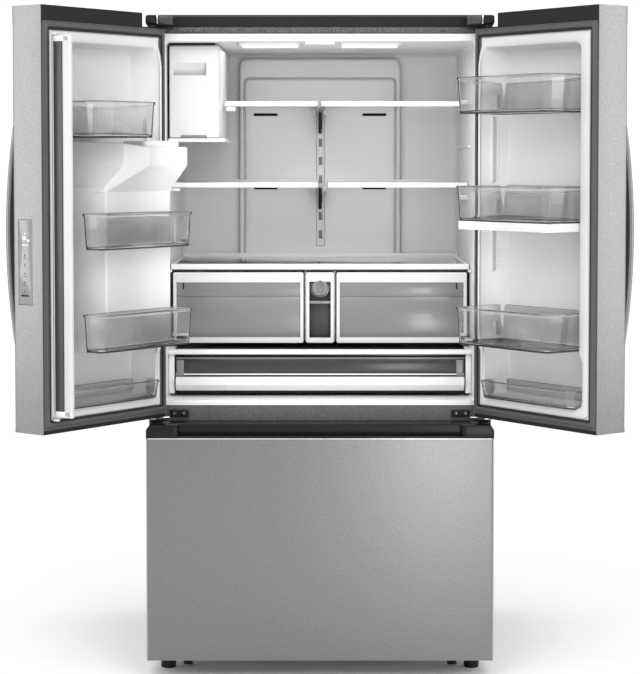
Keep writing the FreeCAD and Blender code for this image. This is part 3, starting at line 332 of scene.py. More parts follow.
HAMMERED = surface("case_hammered", grey(0.055), 0.45, 0.0, 0.85, 260, 1.0, 200)

for part in frame["record"]["subparts"]:
    node = frame["nodes"][part["node"]]
    node.data.materials.clear()
    node.data.materials.append(MATERIALS[part["material_slot"]])


# ---- cabinet ----

def cabinet_piece(name, shape, slot, replaces=(), body="cabinet", sharp=32, wall=0):
    return piece(name, shape, CABINET, body, slot, replaces, sharp, wall)


def make_liner_room():
    """Fresh food liner: one formed sheet, front lip, walls with moulded shelf ledges and a rounded back."""
    lip = rect(-427, 427, 707, 1690)
    room = rect(-409, 409, 721, 1670)
    steps = [(lip, 0, 3.5, 2), (lip, 1, 0.6, 3), (room, -5, 0.6, 6), (room, -1.5, 2, 8),
            (room, 0, 6, 10),
             (room, 0, 60, 12), (room, 0, 620, 14), (room, 4, 640, 18), (room, 12, 647.5, 24), (room, 26,
                     649, 30)]
    loops = []
    for corners, inset, depth, radius in steps:
        outline = rounded(offset(corners, inset), radius, 6)
        loops.append([(u, depth, v) for u, v in outline])
    shape = Shape().loft(loops, caps=False)
    base = len(shape.verts) - len(loops[-1])
    shape.faces.append(tuple(range(base, base + len(loops[-1]))))
    cabinet_piece("food_liner_shell", shape, "white_liner", ["fresh_food_liner"], wall=1.2)
    ledges = Shape()
    for hand in (-1, 1):
        for low in (1272, 1494, 1052, 1390):
            span = sorted((hand * 409, hand * 403))
            if hand < 0 and low > 1380:
                continue
            ledges.box(span, (150, 600), (low, low + 8), 3, 2)
    cabinet_piece("side_ledges", ledges, "white_liner")
    front = Shape()
    front.box((-40, 40), (4, 52), (1662, 1687), 9, 3)
    cabinet_piece("mullion_guide", front, "white_liner")
    slot = Shape().box((-12, 12), (2.6, 5), (1672, 1679), 3, 0.8)
    cabinet_piece("mullion_guide_slot", slot, "dispenser_grey")


def make_lamps():
    housing = Shape()
    lens = Shape()
    for hand in (-1, 1):
        x = sorted((hand * 52, hand * 218))
        housing.frame(rect(*x, 54, 198), rect(x[0] + 9, x[1] - 9, 63, 189), "z", 1662, 1670, 14, 9, 2)
        lens.slab(rect(x[0] + 8, x[1] - 8, 62, 190), "z", 1665, 1669.5, 9, 1.5)
    cabinet_piece("lamp_frames", housing, "white_liner")
    cabinet_piece("lamp_lenses", lens, "lamp_lens", ["ceiling_lamps"])


def arch(half, low, high, corner):
    """An outline with two rounded top corners."""
    return rounded(rect(-half, half, low, high), [3, 3, corner, corner], 10)


def make_duct():
    """Air duct cover: a raised arched frame, a sunken border and a flat inner panel with vents and a track."""
    levels = [(238, 861, 1655, 30, 650), (238, 861, 1655, 30, 628), (236, 863, 1653, 28, 622),
            (231, 866, 1648, 25, 618.5),
              (226, 868, 1600, 18, 619.5), (223, 870, 1597, 16, 622.5), (221, 872, 1595, 14, 622.5),
              (218, 874, 1592, 13, 617), (214, 876, 1588, 12, 615.5)]
    loops = []
    for half, low, high, corner, depth in levels:
        loops.append([(u, depth, v) for u, v in arch(half, low, high, corner)])
    item = cabinet_piece("duct_panel", Shape().loft(loops), "white_liner", ["duct_cover"])
    cutters = []
    # The black plates inside the vent openings are painted shade for the dark inside of the vents.
    vent_shades = Shape()
    for height in (1486, 1270):
        for hand in (-1, 1):
            x = sorted((hand * 125, hand * 195))
            cutters.append(Shape().box(x, (600, 627), (height, height + 9), 1.5, 0.3))
            vent_shades.box(x, (624, 626), (height + 1, height + 8), 1, 0.3)
    carve(item, cutters, CABINET)
    cabinet_piece("vent_shade_backs", vent_shades, "black_cover")
    # Thin dark rings at the edges of the raised frame and of the sunken border: painted shadow lines, not seams in
    # the sheet.
    shadow_lines = Shape()
    for outer_line, inner_line, depth in (((239.6, 860, 1656.6, 31), (238.6, 861, 1655.6, 30), 648),
                                          ((224.2, 868, 1598.2, 17), (223.2, 869, 1597.2, 16), 617.8)):
        rows = [(outer_line, depth), (outer_line, depth + 4), (inner_line, depth + 4),
                (inner_line, depth)]
        shadow_lines.loft([[(u, level, v) for u, v in arch(*line)] for line, level in rows], ring=True)
    cabinet_piece("duct_shadow_lines", shadow_lines, "crisper_clear")
    track = Shape()
    track.frame(rect(-10, 13, 1105, 1500), rect(-4.5, 7.5, 1112, 1494), "y", 611, 617, 4, 2, 1)
    cabinet_piece("track_frame", track, "white_liner")
    web = Shape().box((-4.6, 7.6), (614.6, 616), (1111, 1495), 1, 0.3)
    cabinet_piece("track_web", web, "white_liner")
    # Dark boxes on the track web are painted shade standing for the depth of the slots.
    slot_shades = Shape()
    for index in range(7):
        middle = 1138 + 54 * index
        slot_shades.box((-3.6, 6.6), (613.6, 615), (middle - 12, middle + 12), 1, 0.3)
    cabinet_piece("track_slot_shades", slot_shades, "crisper_clear")
    groove = Shape()
    groove.frame(rect(-11, 14, 1104, 1500.8), rect(-10, 13, 1105, 1499.8), "y", 613.5, 615.8, 4, 4, 0.2)
    cabinet_piece("track_shadow", groove, "gasket_grey")


UPPER_SHELF, LOWER_SHELF = 1504, 1282


def make_shelf(name, x, low, replaces):
    """Tempered glass in a white moulded rim: tall front trim, slim sides, raised rear stop."""
    high = low + 14
    trim = Shape()
    trim.slab([(200, low), (219, low), (219, low + 5), (213, high), (200, high)], "x", x[0], x[1], 2.2,
            1.2)
    for side in ((x[0], x[0] + 9), (x[1] - 9, x[1])):
        trim.box(side, (214, 610), (low + 7, high - 2), 2, 1.2)
    trim.box(x, (602, 612), (low + 9, high + 4), 2, 1.2)
    cabinet_piece(f"{name}_rim", trim, "white_liner", replaces)
    glass = Shape().box((x[0] + 5, x[1] - 5), (212, 604), (high - 5.2, high - 1.2), 2, 0.6)
    cabinet_piece(f"{name}_glass", glass, "shelf_glass")


def make_shelves():
    make_shelf("upper_left_shelf", (-260, -7), UPPER_SHELF, ["upper_shelves"])
    make_shelf("upper_right_shelf", (4, 405), UPPER_SHELF, [])
    make_shelf("lower_left_shelf", (-405, -6), LOWER_SHELF, ["lower_shelves"])
    make_shelf("lower_right_shelf", (22, 405), LOWER_SHELF, [])
    arms = Shape()
    for top in (UPPER_SHELF - 1, LOWER_SHELF - 1):
        arms.slab([(250, top - 6), (612, top - 70), (612, top - 8), (560, top), (250, top)], "x", -1.2,
                1.2, 4, 0.4)
        arms.slab([(575, top - 30), (612, top - 72), (612, top - 8), (590, top - 6)], "x", -4, 5, 3, 1)
    cabinet_piece("shelf_arms", arms, "black_cover")
    clips = Shape()
    for x, top in ((-17, 1503), (14, 1503), (14, 1281), (-17, 1281)):
        clips.box((x - 5, x + 5), (560, 612), (top - 16, top - 0.5), 2, 1.2)
    for hand, top in ((1, 1503), (1, 1281), (-1, 1281)):
        x = sorted((hand * 384, hand * 404))
        clips.box(x, (205, 260), (top - 9, top - 0.4), 3, 2)
        clips.box(x, (270, 330), (top - 5, top - 0.4), 3, 1.5)
    clips.box((-258, -232), (205, 262), (1492, 1503.6), 3, 2)
    cabinet_piece("shelf_clips", clips, "white_liner")


def make_crisper_cover():
    trim = Shape()
    trim.slab([(145, 1060), (163, 1060), (163, 1068), (158, 1075), (145, 1075)], "x", -405, 405, 2, 1.2)
    for x in ((-405, -395), (395, 405)):
        trim.box(x, (160, 610), (1062, 1075), 2, 1)
    trim.box((-405, 405), (598, 612), (1062, 1083), 3, 1.5)
    trim.box((-42, -38), (170, 600), (862, 1062), 1, 0.5).box((38, 42), (170, 600), (862, 1062), 1, 0.5)
    cabinet_piece("crisper_cover_rim", trim, "white_liner", ["crisper_cover"])
    glass = Shape().box((-396, 396), (157, 600), (1069, 1073), 2, 0.6)
    cabinet_piece("crisper_cover_glass", glass, "shelf_glass")
    # The dark strip under the cover's front trim is painted shade, not a seal.
    shade = Shape().box((-398, 398), (166, 590), (1055.5, 1059), 1, 0.5)
    cabinet_piece("crisper_cover_shade", shade, "gasket_grey")


def make_crisper(side, hand):
    body = f"{side}_crisper"
    x = (45, 400) if hand > 0 else (-400, -45)
    window = (x[0] + 9, x[1] - 9)
    frame_shape = Shape()
    frame_shape.frame(rect(*x, 859, 1052), rect(*window, 874, 1024), "y", 150, 164, 5, 2, 1.4)
    piece(f"{body}_frame", frame_shape, CABINET, body, "door_back", [body])
    pane = Shape()
    pane.box((x[0] + 5, x[1] - 5), (156, 159), (870, 986), 1, 0.6)
    pane.box((x[0] + 5, x[1] - 5), (153.5, 159), (986, 1028), 1, 1.2)
    piece(f"{body}_window", pane, CABINET, body, "crisper_clear")
    outer = hand * 372
    mark = Shape().box((outer - 2, outer + 2), (152.2, 154), (1006, 1023), 1, 0.4)
    piece(f"{body}_mark", mark, CABINET, body, "black_cover")
    inner = (x[0] + 6, x[1] - 6)
    tub = tub_shape(inner, (164, 600), (865, 1040), 3, 18, 5)
    piece(f"{body}_tub", tub, CABINET, body, "bin_clear")


def tub_shape(x, y, z, wall, corner, draft):
    """An open tub with drafted walls, rounded corners and a rolled rim."""
    corners = rect(x[0], x[1], y[0], y[1])
    levels = [(draft + 6, z[0]), (draft + 2, z[0] + 1.5), (draft, z[0] + 6), (3, z[1] - 8),
            (0.3, z[1] - 7), (0, z[1] - 5),
              (0.3, z[1]), (wall + 2, z[1]), (wall + 3, z[1] - 2), (draft + wall,
                      z[0] + 8), (draft + wall + 6, z[0] + wall)]
    loops = []
    for inset, height in levels:
        loops.append([(u, v, height) for u,
                v in rounded(offset(corners, inset), max(corner - inset, 2), 6)])
    return Shape().loft(loops)


def make_filter_bay():
    bay = Shape()
    bay.frame(rect(-38, 38, 859, 1052), rect(-29, 29, 873, 1026), "y", 150, 168, 5, 3, 1.6)
    cabinet_piece("filter_frame", bay, "door_back", ["filter_housing"])
    back = Shape().box((-33, 33), (184, 187), (863, 1046), 1, 0.5)
    back.box((-36, -29.5), (166, 186), (860, 1050), 1, 0.5).box((29.5, 36), (166, 186), (860, 1050), 1,
            0.5)
    cabinet_piece("filter_recess", back, "dispenser_grey")
    shelf = Shape().slab([(155, 966), (184, 966), (184, 972), (155, 974)], "x", -29, 29, 1, 0.6)
    cabinet_piece("filter_shelf", shelf, "crisper_clear")
    knob = Shape()
    knob.lathe((0, 0, 1010), "y",
            [(2, 156), (20, 154.5), (26, 155.5), (27.5, 158), (27.5, 166), (26, 168), (2, 168)], 40)
    knob.box((-5, 5), (142, 158), (990, 1030), 4, 2.5)
    piece("filter_knob", knob, CABINET, "filter_cartridge", "bin_clear", ["filter_cartridge"])
    tube = Shape().lathe((0, 0, 1010), "y", [(24, 168), (25.5, 170), (25.5, 378), (23, 386)], 36)
    piece("filter_tube", tube, CABINET, "filter_cartridge", "white_liner")
    ring = Shape().lathe((0, 0, 1010), "y",
            [(17, 152.6), (19.5, 152.2), (21.5, 153), (21.5, 157), (17, 157)], 36)
    piece("filter_ring", ring, CABINET, "filter_cartridge", "crisper_clear")


def make_pantry():
    cover = Shape()
    cover.slab([(65, 836), (84, 836), (84, 842), (78, 849), (65, 849)], "x", -408, 408, 2.5, 1.2)
    for hand in (-1, 1):
        cover.box(sorted((hand * 392, hand * 408)), (81, 612), (729, 836), 3, 1.5)
        cover.box(sorted((hand * 392, hand * 408)), (84, 612), (836, 848), 2, 1)
    cover.box((-408, 408), (600, 612), (836, 849), 2, 1)
    cabinet_piece("pantry_cover_rim", cover, "white_liner", ["pantry_cover"])
    plate = Shape().box((-394, 394), (78, 604), (839, 846.5), 2, 0.8)
    plate.box((-388, 388), (92, 600), (829, 834), 1, 0.6)
    cabinet_piece("pantry_cover_plate", plate, "smoked")
    window = Shape().box((-388, 388), (80, 90), (783, 822), 3, 1.2)
    piece("pantry_window", window, CABINET, "pantry_drawer", "smoked", ["pantry_drawer"])
    line = Shape().box((-388, 388), (77, 84), (779.4, 783), 1, 0.5)
    piece("pantry_line", line, CABINET, "pantry_drawer", "white_liner")
    # The black strips above and below the drawer bar are painted shadow in the gaps around it.
    gap = Shape().box((-388, 388), (79, 88), (774, 780), 1, 0.5)
    gap.box((-380, 388), (86, 100), (730, 737), 1, 0.5)
    piece("pantry_gap_shadows", gap, CABINET, "pantry_drawer", "black_cover")
    # The grey strip between the cover and the drawer window is painted shade in the gap.
    head = Shape().box((-388, 388), (82, 90), (822, 827), 1, 0.6)
    piece("pantry_top_gap_shade", head, CABINET, "pantry_drawer", "crisper_clear")
    bar = Shape()
    bar.slab([(80, 737), (90, 737), (90, 775), (66, 775), (66, 754)], "x", -388, 388, 1.4, 1.2)
    piece("pantry_bar", bar, CABINET, "pantry_drawer", "white_liner")
    tub = tub_shape((-384, 384), (90, 590), (735, 815), 3, 16, 4)
    piece("pantry_tub", tub, CABINET, "pantry_drawer", "bin_clear")
    ends = Shape()
    for hand in (-1, 1):
        ends.box(sorted((hand * 366, hand * 386)), (76.5, 80.2), (776, 820), 3, 1)
    piece("pantry_ends", ends, CABINET, "pantry_drawer", "crisper_clear")


def make_ice_maker():
    shell = Shape()
    outer = [(-405, 1414), (-268, 1414), (-268, 1667), (-405, 1667)]
    loops = []
    for inset, depth, radius in ((3, 600, 3), (0, 597, 5), (0, 98, 14), (0.6, 96, 14), (2, 95, 13),
            (4, 95.4, 11), (4.6, 97, 10),
                                 (4.6, 560, 10)):
        loops.append([(u, depth, v) for u,
                v in rounded(offset(outer, inset), [2, radius, radius, 2], 6)])
    shell.loft(loops)
    cabinet_piece("ice_housing", shell, "white_liner", ["ice_maker_housing"])
    corners = [(-402, 66), (-296, 62), (-268, 62), (-268, 94), (-402, 94)]
    radii = [5, 30, 27, 2, 2]
    panel = Shape()
    loops = []
    for inset, height in ((3, 1417), (1, 1418), (0, 1421), (0, 1654), (2, 1660), (8, 1664)):
        loops.append([(u, v, height) for u, v in rounded(offset(corners, inset), radii, 8)])
    panel.loft(loops)
    item = piece("ice_panel", panel, CABINET, "ice_bucket", "door_back", ["ice_bucket"])
    grip = Shape().slab([(56, 1582), (88, 1582), (88, 1586), (65, 1616), (56, 1616)], "x", -390, -303, 2,
            0.5)
    carve(item, [grip], CABINET)
    tub = tub_shape((-396, -273), (94, 540), (1419, 1597), 3, 12, 4)
    piece("ice_tub", tub, CABINET, "ice_bucket", "bin_clear")
    tray = Shape().box((-406, -254), (62, 600), (1406, 1415.5), 6, 2.5)
    cabinet_piece("ice_tray", tray, "white_liner")
    # The dark box on the bucket's lower lip is painted shade standing for the slot.
    slot = Shape().box((-371, -302), (61.4, 65.4), (1415, 1424), 3, 0.6)
    piece("ice_slot_shade", slot, CABINET, "ice_bucket", "crisper_clear")
    # The black strip along the top of the ice bucket is painted shadow in the gap under the ceiling.
    gap = Shape().box((-404, -280), (66, 96), (1664.2, 1668.5), 8, 0.6)
    cabinet_piece("ice_gap_shadow", gap, "black_cover")


def make_header():
    """Dark bar across the top with a moulded cover over each hinge."""
    bar = Shape().slab([(-6, 1708), (0, 1708), (0, 1734), (-4, 1734), (-6, 1731)], "x", -454, 454, 1,
            0.8)
    cabinet_piece("header_bar", bar, "black_cover", ["top_cover"])
    edge = Shape().slab([(-5, 1733), (6, 1735.5), (6, 1738.5), (-3, 1737.5)], "x", -452, 452, 1, 0.6)
    cabinet_piece("header_edge", edge, "hinge_steel")
    covers, blocks, ends, highlight_bands = Shape(), Shape(), Shape(), Shape()
    for hand in (-1, 1):
        outer = [(-77, 1722), (-70, 1733), (0, 1734), (0, 1709), (-8, 1706), (-77, 1712)]
        covers.slab(list(reversed(outer)), "x", *sorted((hand * 425, hand * 453)), 3, 2.2)
        covers.box(sorted((hand * 388, hand * 424)), (-20, -2), (1703.5, 1713), 2, 1)
        covers.box(sorted((hand * 388, hand * 426)), (-66, -4), (1712, 1731), 2, 1)
        blocks.box(sorted((hand * 386, hand * 420)), (-76, -5), (1711, 1733.6), 3, 1.6)
        ends.box(sorted((hand * 384, hand * 390)), (-74, -5), (1712, 1732.4), 2.4, 1.6)
        # The bright steel bands between the hinge covers and blocks are a painted highlight on the covers' edge.
        highlight_bands.box(sorted((hand * 420.6, hand * 423.6)), (-78, -2), (1711, 1735), 0.8, 0.5)
    cabinet_piece("hinge_covers", covers, "black_cover")
    cabinet_piece("hinge_blocks", blocks, "dispenser_grey")
    cabinet_piece("hinge_ends", ends, "mullion_steel")
    cabinet_piece("hinge_highlight_bands", highlight_bands, "rail_steel")
    strip = Shape().box((-427, 427), (-1.2, 0.4), (1691.6, 1707.2), 0.6, 0.3)
    item = cabinet_piece("header_texture", strip, "case_steel")
    item.data.materials.clear()
    item.data.materials.append(HAMMERED)
    under = Shape().box((-427, 427), (-0.8, 0.4), (1689.8, 1691.6), 0.6, 0.3)
    cabinet_piece("header_shadow", under, "black_cover")


def make_center_hinges():
    """Bracket under each door: a dark plate with two screws, an arm and the pin's boss."""
    plates, rims, screws, heads, arms, knuckles = (Shape() for _ in range(6))
    for hand in (-1, 1):
        span = sorted((hand * 347, hand * 399))
        plates.slab(rect(*span, 674.5, 696.5), "y", -5.4, -0.4, 5, 1)
        rims.frame(rect(*span, 674.5, 696.5), offset(rect(*span, 674.5, 696.5), 1.1), "y", -6, -4.6, 5,
                4, 0.2)
        for x in (361, 386):
            screws.lathe((hand * x, 0, 686), "y", [(3, -8), (5.4, -7.6), (6.4, -6), (6.4, -4)], 20)
            heads.lathe((hand * x, 0, 686), "y", [(0.6, -8.4), (1.6, -8.4), (1.8, -7.4), (0.6, -7.2)],
                    12)
        plan = [(398, -9), (398, -1), (452, -1), (452, -40), (446, -54), (432, -54), (424, -40),
                (416, -12)]
        if hand < 0:
            plan = [(-x, y) for x, y in reversed(plan)]
        arms.slab(plan, "z", 675.4, 680, 2, 0.8)
        knuckles.lathe((hand * 439, -42, 0), "z",
                [(11, 676), (12, 677), (12, 681.2), (8, 682.4), (6, 682.5), (6, 690.5), (5, 691)], 24)
    cabinet_piece("hinge_plates", plates, "black_cover", ["center_hinges"])
    cabinet_piece("hinge_plate_rims", rims, "gasket_grey")
    cabinet_piece("hinge_screws", screws, "hinge_steel")
    cabinet_piece("hinge_screw_sockets", heads, "galvanised")
    cabinet_piece("hinge_arms", arms, "rail_steel")
    cabinet_piece("hinge_knuckles", knuckles, "hinge_steel")


make_liner_room()
make_lamps()
make_duct()
make_shelves()
make_crisper_cover()
make_crisper("left", -1)
make_crisper("right", 1)
make_filter_bay()
make_pantry()
make_ice_maker()
make_header()
make_center_hinges()


# ---- doors ----

def door_piece(side, name, shape, slot, replaces=(), sharp=32, wall=0, body=None):
    return piece(f"{side}_{name}", shape, DOOR[side], body or f"{side}_door", slot, replaces, sharp,
            wall)


DOOR_LOW, DOOR_HIGH = 683, 1736


def make_skin(side):
    """Stainless sheet folded round the front and both upright edges, hemmed at the back."""
    outer = [(-15, 30), (-15, -70), (437, -70), (437, 30)]
    inner = [(435.3, 30), (435.3, -68.3), (-13.3, -68.3), (-13.3, 30)]
    outline = rounded(outer + inner, [0.7, 7, 7, 0.7, 0.7, 5.5, 5.5, 0.7], 6)
    shape = Shape().loft([[(u, v, height) for u, v in outline] for height in (DOOR_LOW, DOOR_HIGH)])
    item = door_piece(side, "skin", shape, "stainless", [f"{side}_door_skin"])
    cutters = [Shape().box((-20, 70), (-72, 34), (1701, 1740), 1, 0.4)]
    if side == "left":
        cutters.append(Shape().box((113, 309), (-75, -60), (962, 1280), 14, 0.4))
        cutters.append(Shape().box((430, 440), (-52, -4), (1001, 1212), 1, 0.4))
    carve(item, cutters, DOOR[side])


def rim_outline(grow):
    """The raised rim's outer edge: set in near the top and the bottom of the hinge side."""
    corners = [(16, 721), (409, 721), (409, 1672), (17, 1672), (17, 1650), (3, 1612), (3, 900),
            (16, 868)]
    return offset(corners, -grow), [10, 16, 10, 3, 8, 30, 14, 14]


POCKET_EDGE = [(36, 742), (392, 742), (392, 858), (381, 876), (381, 1648), (30, 1648), (13, 1604),
        (13, 884), (30, 852)]
POCKET_FLOOR = [(64, 756), (384, 756), (384, 866), (373, 882), (373, 1639), (66, 1639), (56, 1606),
        (56, 886), (62, 862)]
POCKET_RADII = [24, 24, 10, 10, 22, 16, 40, 14, 14]


def pocket_outline(share, grow=0):
    """The pocket between its edge on the rim, share 0, and its floor, share 1."""
    corners = [tuple(Vector(edge).lerp(Vector(floor), share)) for edge,
            floor in zip(POCKET_EDGE, POCKET_FLOOR)]
    return offset(corners, -grow), POCKET_RADII


def even(points, count):
    """The same closed outline with evenly spaced points, starting at its lowest left point."""
    total = len(points)
    start = min(range(total), key=lambda index: points[index][0] + points[index][1])
    ordered = [Vector(points[(start + index) % total]) for index in range(total)] + [Vector(points[start])]
    lengths = [0.0]
    for before, after in zip(ordered, ordered[1:]):
        lengths.append(lengths[-1] + (after - before).length)
    result = []
    cursor = 0
    for step in range(count):
        target = lengths[-1] * step / count
        while lengths[cursor + 1] < target:
            cursor += 1
        share = (target - lengths[cursor]) / max(lengths[cursor + 1] - lengths[cursor], 1e-9)
        result.append(tuple(ordered[cursor].lerp(ordered[cursor + 1], share)))
    return result


def make_liner(side):
    """White formed liner: flange, stepped rim and a deep pocket with drafted walls."""
    count = 640
    levels = [("rim", 8, 27), ("rim", 8, 29.4), ("rim", 1.2, 29.6), ("rim", 0.3, 31), ("rim", 0, 34.5),
            ("rim", -1.2, 35.6),
              ("rim", -6, 35.8), ("rim", -6.6, 37.7), ("rim", -10, 38),
              (0, 7, 38), (0, 2.5, 37.4), (0, 0.6, 36), (0, 0, 33.5), (0.5, 0, 5), (0.94, 0,
                      -21), (0.985, -1.2, -24), (1, -4, -25),
              (1, -14, -25)]
    loops = []
    for kind, grow, depth in levels:
        corners, radii = rim_outline(grow) if kind == "rim" else pocket_outline(kind, grow)
        loops.append([(u, depth, v) for u, v in even(rounded(corners, radii, 8), count)])
    shape = Shape().loft(loops, caps=False)
    base = len(shape.verts) - count
    shape.faces.append(tuple(range(base, base + count)))
    door_piece(side, "liner_shell", shape, "door_back", [f"{side}_door_liner"], sharp=38, wall=1.0)
    backing = Shape()
    levels = [(-13.4, 435.4, 693, 1689, 22), (-13.4, 435.4, 693, 1689, 30), (-6, 428, 708, 1683, 30),
            (-4, 415, 716, 1677, 29.5),
              (6, 405, 726, 1667, 29), (6, 405, 726, 1667, 22)]
    backing.loft([[(u, depth, v) for u, v in rounded(rect(*span), 3, 4)] for *span, depth in levels],
            ring=True)
    door_piece(side, "inner_frame", backing, "gasket_grey")
    bosses = Shape()
    for low in ((1160, 900) if side == "left" else (1480, 1212, 896)):
        bosses.loft([[(x + push, depth, v) for depth,
                v in rounded(rect(-4, 8, low + 2, low + 50), 5.5, 5)]
                     for x, push in ((30, 0), (40, 0), (44, 0))])
        bosses.slab(rect(-6, 8, low + 2, low + 50), "x", 368, 379, 5.5, 2)
    ladder = Shape()
    for low, high in ((1300, 1468), (1068, 1196)):
        ladder.slab(rect(2, 16, low, high), "x", 18, 37, 3, 1.5)
        for step in range(int((high - low) / 13) - 1):
            ladder.slab(rect(-9, -1, low + 10 + 13 * step, low + 16 + 13 * step), "x", 30, 42, 2, 1)
    # The thin grey metallic line along the rim's inner step is painted shade on that crease.
    step_shade_line = Shape()
    line_loops = []
    for grow, depth in ((-10, 37.2), (-10, 38.25), (-11, 38.25), (-11, 37.2)):
        corners, radii = rim_outline(grow)
        line_loops.append([(u, depth, v) for u, v in even(rounded(corners, radii, 8), 320)])
    step_shade_line.loft(line_loops, ring=True)
    door_piece(side, "rim_shade_line", step_shade_line, "galvanised")
    door_piece(side, "bin_bosses", bosses, "door_back")
    door_piece(side, "bin_ladders", ladder, "door_back")


def make_seal(side):
    """Magnetic gasket: a dart, a soft bellows and the broad magnet face, with a groove inside it coloured darker
    as painted shade.
    """
    outer = (-12, 433, 699, 1698)
    inner = (-0.6, 411.5, 717.5, 1675.5)

    def ring(share, radius):
        left, right, low, high = (a + (b - a) * share for a, b in zip(outer, inner))
        return rounded(rect(left, right, low, high), radius, 4)

    profile = [(0, 30), (0, 33), (0.04, 34.6), (0.1, 35), (0.16, 34), (0.22, 34.8), (0.3, 36),
            (0.5, 36.6), (0.62, 36.2),
               (0.68, 34.5), (0.7, 32.5), (0.7, 30)]
    door_piece(side, "seal", Shape().loft([[(u, depth, v) for u, v in ring(share, 5)] for share, depth in profile], ring=True),
               "gasket_grey", [f"{side}_door_gasket"])
    # The groove's shape is real; its darker material is painted shade.
    groove = [(0.71, 30), (0.71, 32.6), (0.8, 31.2), (0.93, 31.2), (0.99, 32.8), (0.99, 30)]
    door_piece(side, "seal_groove_shade",
            Shape().loft([[(u, depth, v) for u, v in ring(share, 5)] for share, depth in groove],
                                                 ring=True), "roller_plastic")


HANDLE_X, HANDLE_HALF_WIDTH = 392, 11


def make_handle(side):
    """Bow handle: an oval bar whose section follows two arcs, thicker where it meets the door."""
    half, foot, rise, depth = 410, 42, 65, 18
    middle = 1171
    inner_half = half - foot
    outer_radius = (half ** 2 + rise ** 2) / (2 * rise)
    inner_radius = (inner_half ** 2 + (rise - depth) ** 2) / (2 * (rise - depth))
    outer_turn = math.asin(half / outer_radius)
    inner_turn = math.asin(inner_half / inner_radius)
    loops = []
    steps = 48
    for step in range(steps + 1):
        share = -1 + 2 * step / steps
        far = outer_turn * share
        near = inner_turn * share
        out = Vector((0, -70 - rise + outer_radius * (1 - math.cos(far)),
                middle + outer_radius * math.sin(far)))
        back = Vector((0, -70 - rise + depth + inner_radius * (1 - math.cos(near)),
                middle + inner_radius * math.sin(near)))
        centre = (out + back) / 2
        thick = (back - out) / 2
        loop = []
        for index in range(20):
            turn = 2 * math.pi * index / 20
            along = math.copysign(abs(math.cos(turn)) ** 0.8, math.cos(turn))
            across = math.copysign(abs(math.sin(turn)) ** 0.8, math.sin(turn))
            loop.append(tuple(centre + thick * along + Vector((HANDLE_X + HANDLE_HALF_WIDTH * across, 0,
                    0))))
        loops.append(loop)
    shape = Shape().loft(loops)
    door_piece(side, "handle_bar", shape, "stainless", [f"{side}_door_handle"])


def bin_cut(near):
    """A half-width bin has the larger cut corner."""
    return 46 if near > 100 else 22


def bin_shape(back, front, low, high, near, wall=2.5, draft=5):
    """Clear bin with a cut front corner, drafted walls, a rolled rim and a radiused floor."""
    cut_corner = bin_cut(near)
    corners = [(near, back), (380, back), (380, front - cut_corner / 2), (380 - cut_corner, front),
            (near, front)]

    def ring(inset, height):
        return [(u, v, height) for u, v in rounded(offset(corners, inset), [5, 5, 6, 6, 6], 6)]

    levels = [(draft + 5, low), (draft + 1.8, low + 1), (draft + 0.6, low + 4), (2.4, high - 9),
            (1.6, high - 7), (0.4, high - 6),
              (0, high - 4), (0, high - 1.2), (0.8, high), (wall, high), (wall + 1.6,
                      high - 1.5), (wall + 2.2, high - 6),
              (draft + wall + 0.6, low + 9), (draft + wall + 3.2, low + wall + 2), (draft + wall + 8,
                      low + wall)]
    return Shape().loft([ring(*level) for level in levels])


def make_bins(side, rows):
    for index, (back, front, low, high, near) in enumerate(rows):
        shape = bin_shape(back, front, low, high, near)
        door_piece(side, f"bin_{index + 1}", shape, "bin_clear",
                [f"{side}_door_bins"] if index == 0 else [], sharp=40)
        # The dark ring round each bin's floor is painted shade standing for the bin's dark refracted bottom edge.
        shade_edge_ring = Shape()
        cut_corner = bin_cut(near)
        outline = [(near + 6, back + 6), (374, back + 6), (374, front - cut_corner / 2 - 3),
                (377 - cut_corner, front - 6),
                   (near + 6, front - 6)]
        shade_edge_ring.frame(outline, offset(outline, 2.4), "z", low - 0.8, low + 1.8, 5, 4, 0.4)
        door_piece(side, f"bin_{index + 1}_edge", shade_edge_ring, "smoked")
    if side == "right":
        low = rows[1][2]
        front = rows[1][1]
        outline = [(44, 0), (376, 0), (376, front - 25), (357, front - 3), (44, front - 3)]
        skirt = Shape().frame(outline, offset(outline, 2.2), "z", low - 22, low - 1, 8, 6, 0.6)
        door_piece(side, "bin_2_skirt", skirt, "white_liner")


CHUTE_BASE = [(58, -22), (320, -22), (300, 95), (293, 108), (50, 108)]
CHUTE_BAND = [(58, -22), (312, -22), (248, 130), (184, 156), (37, 156)]


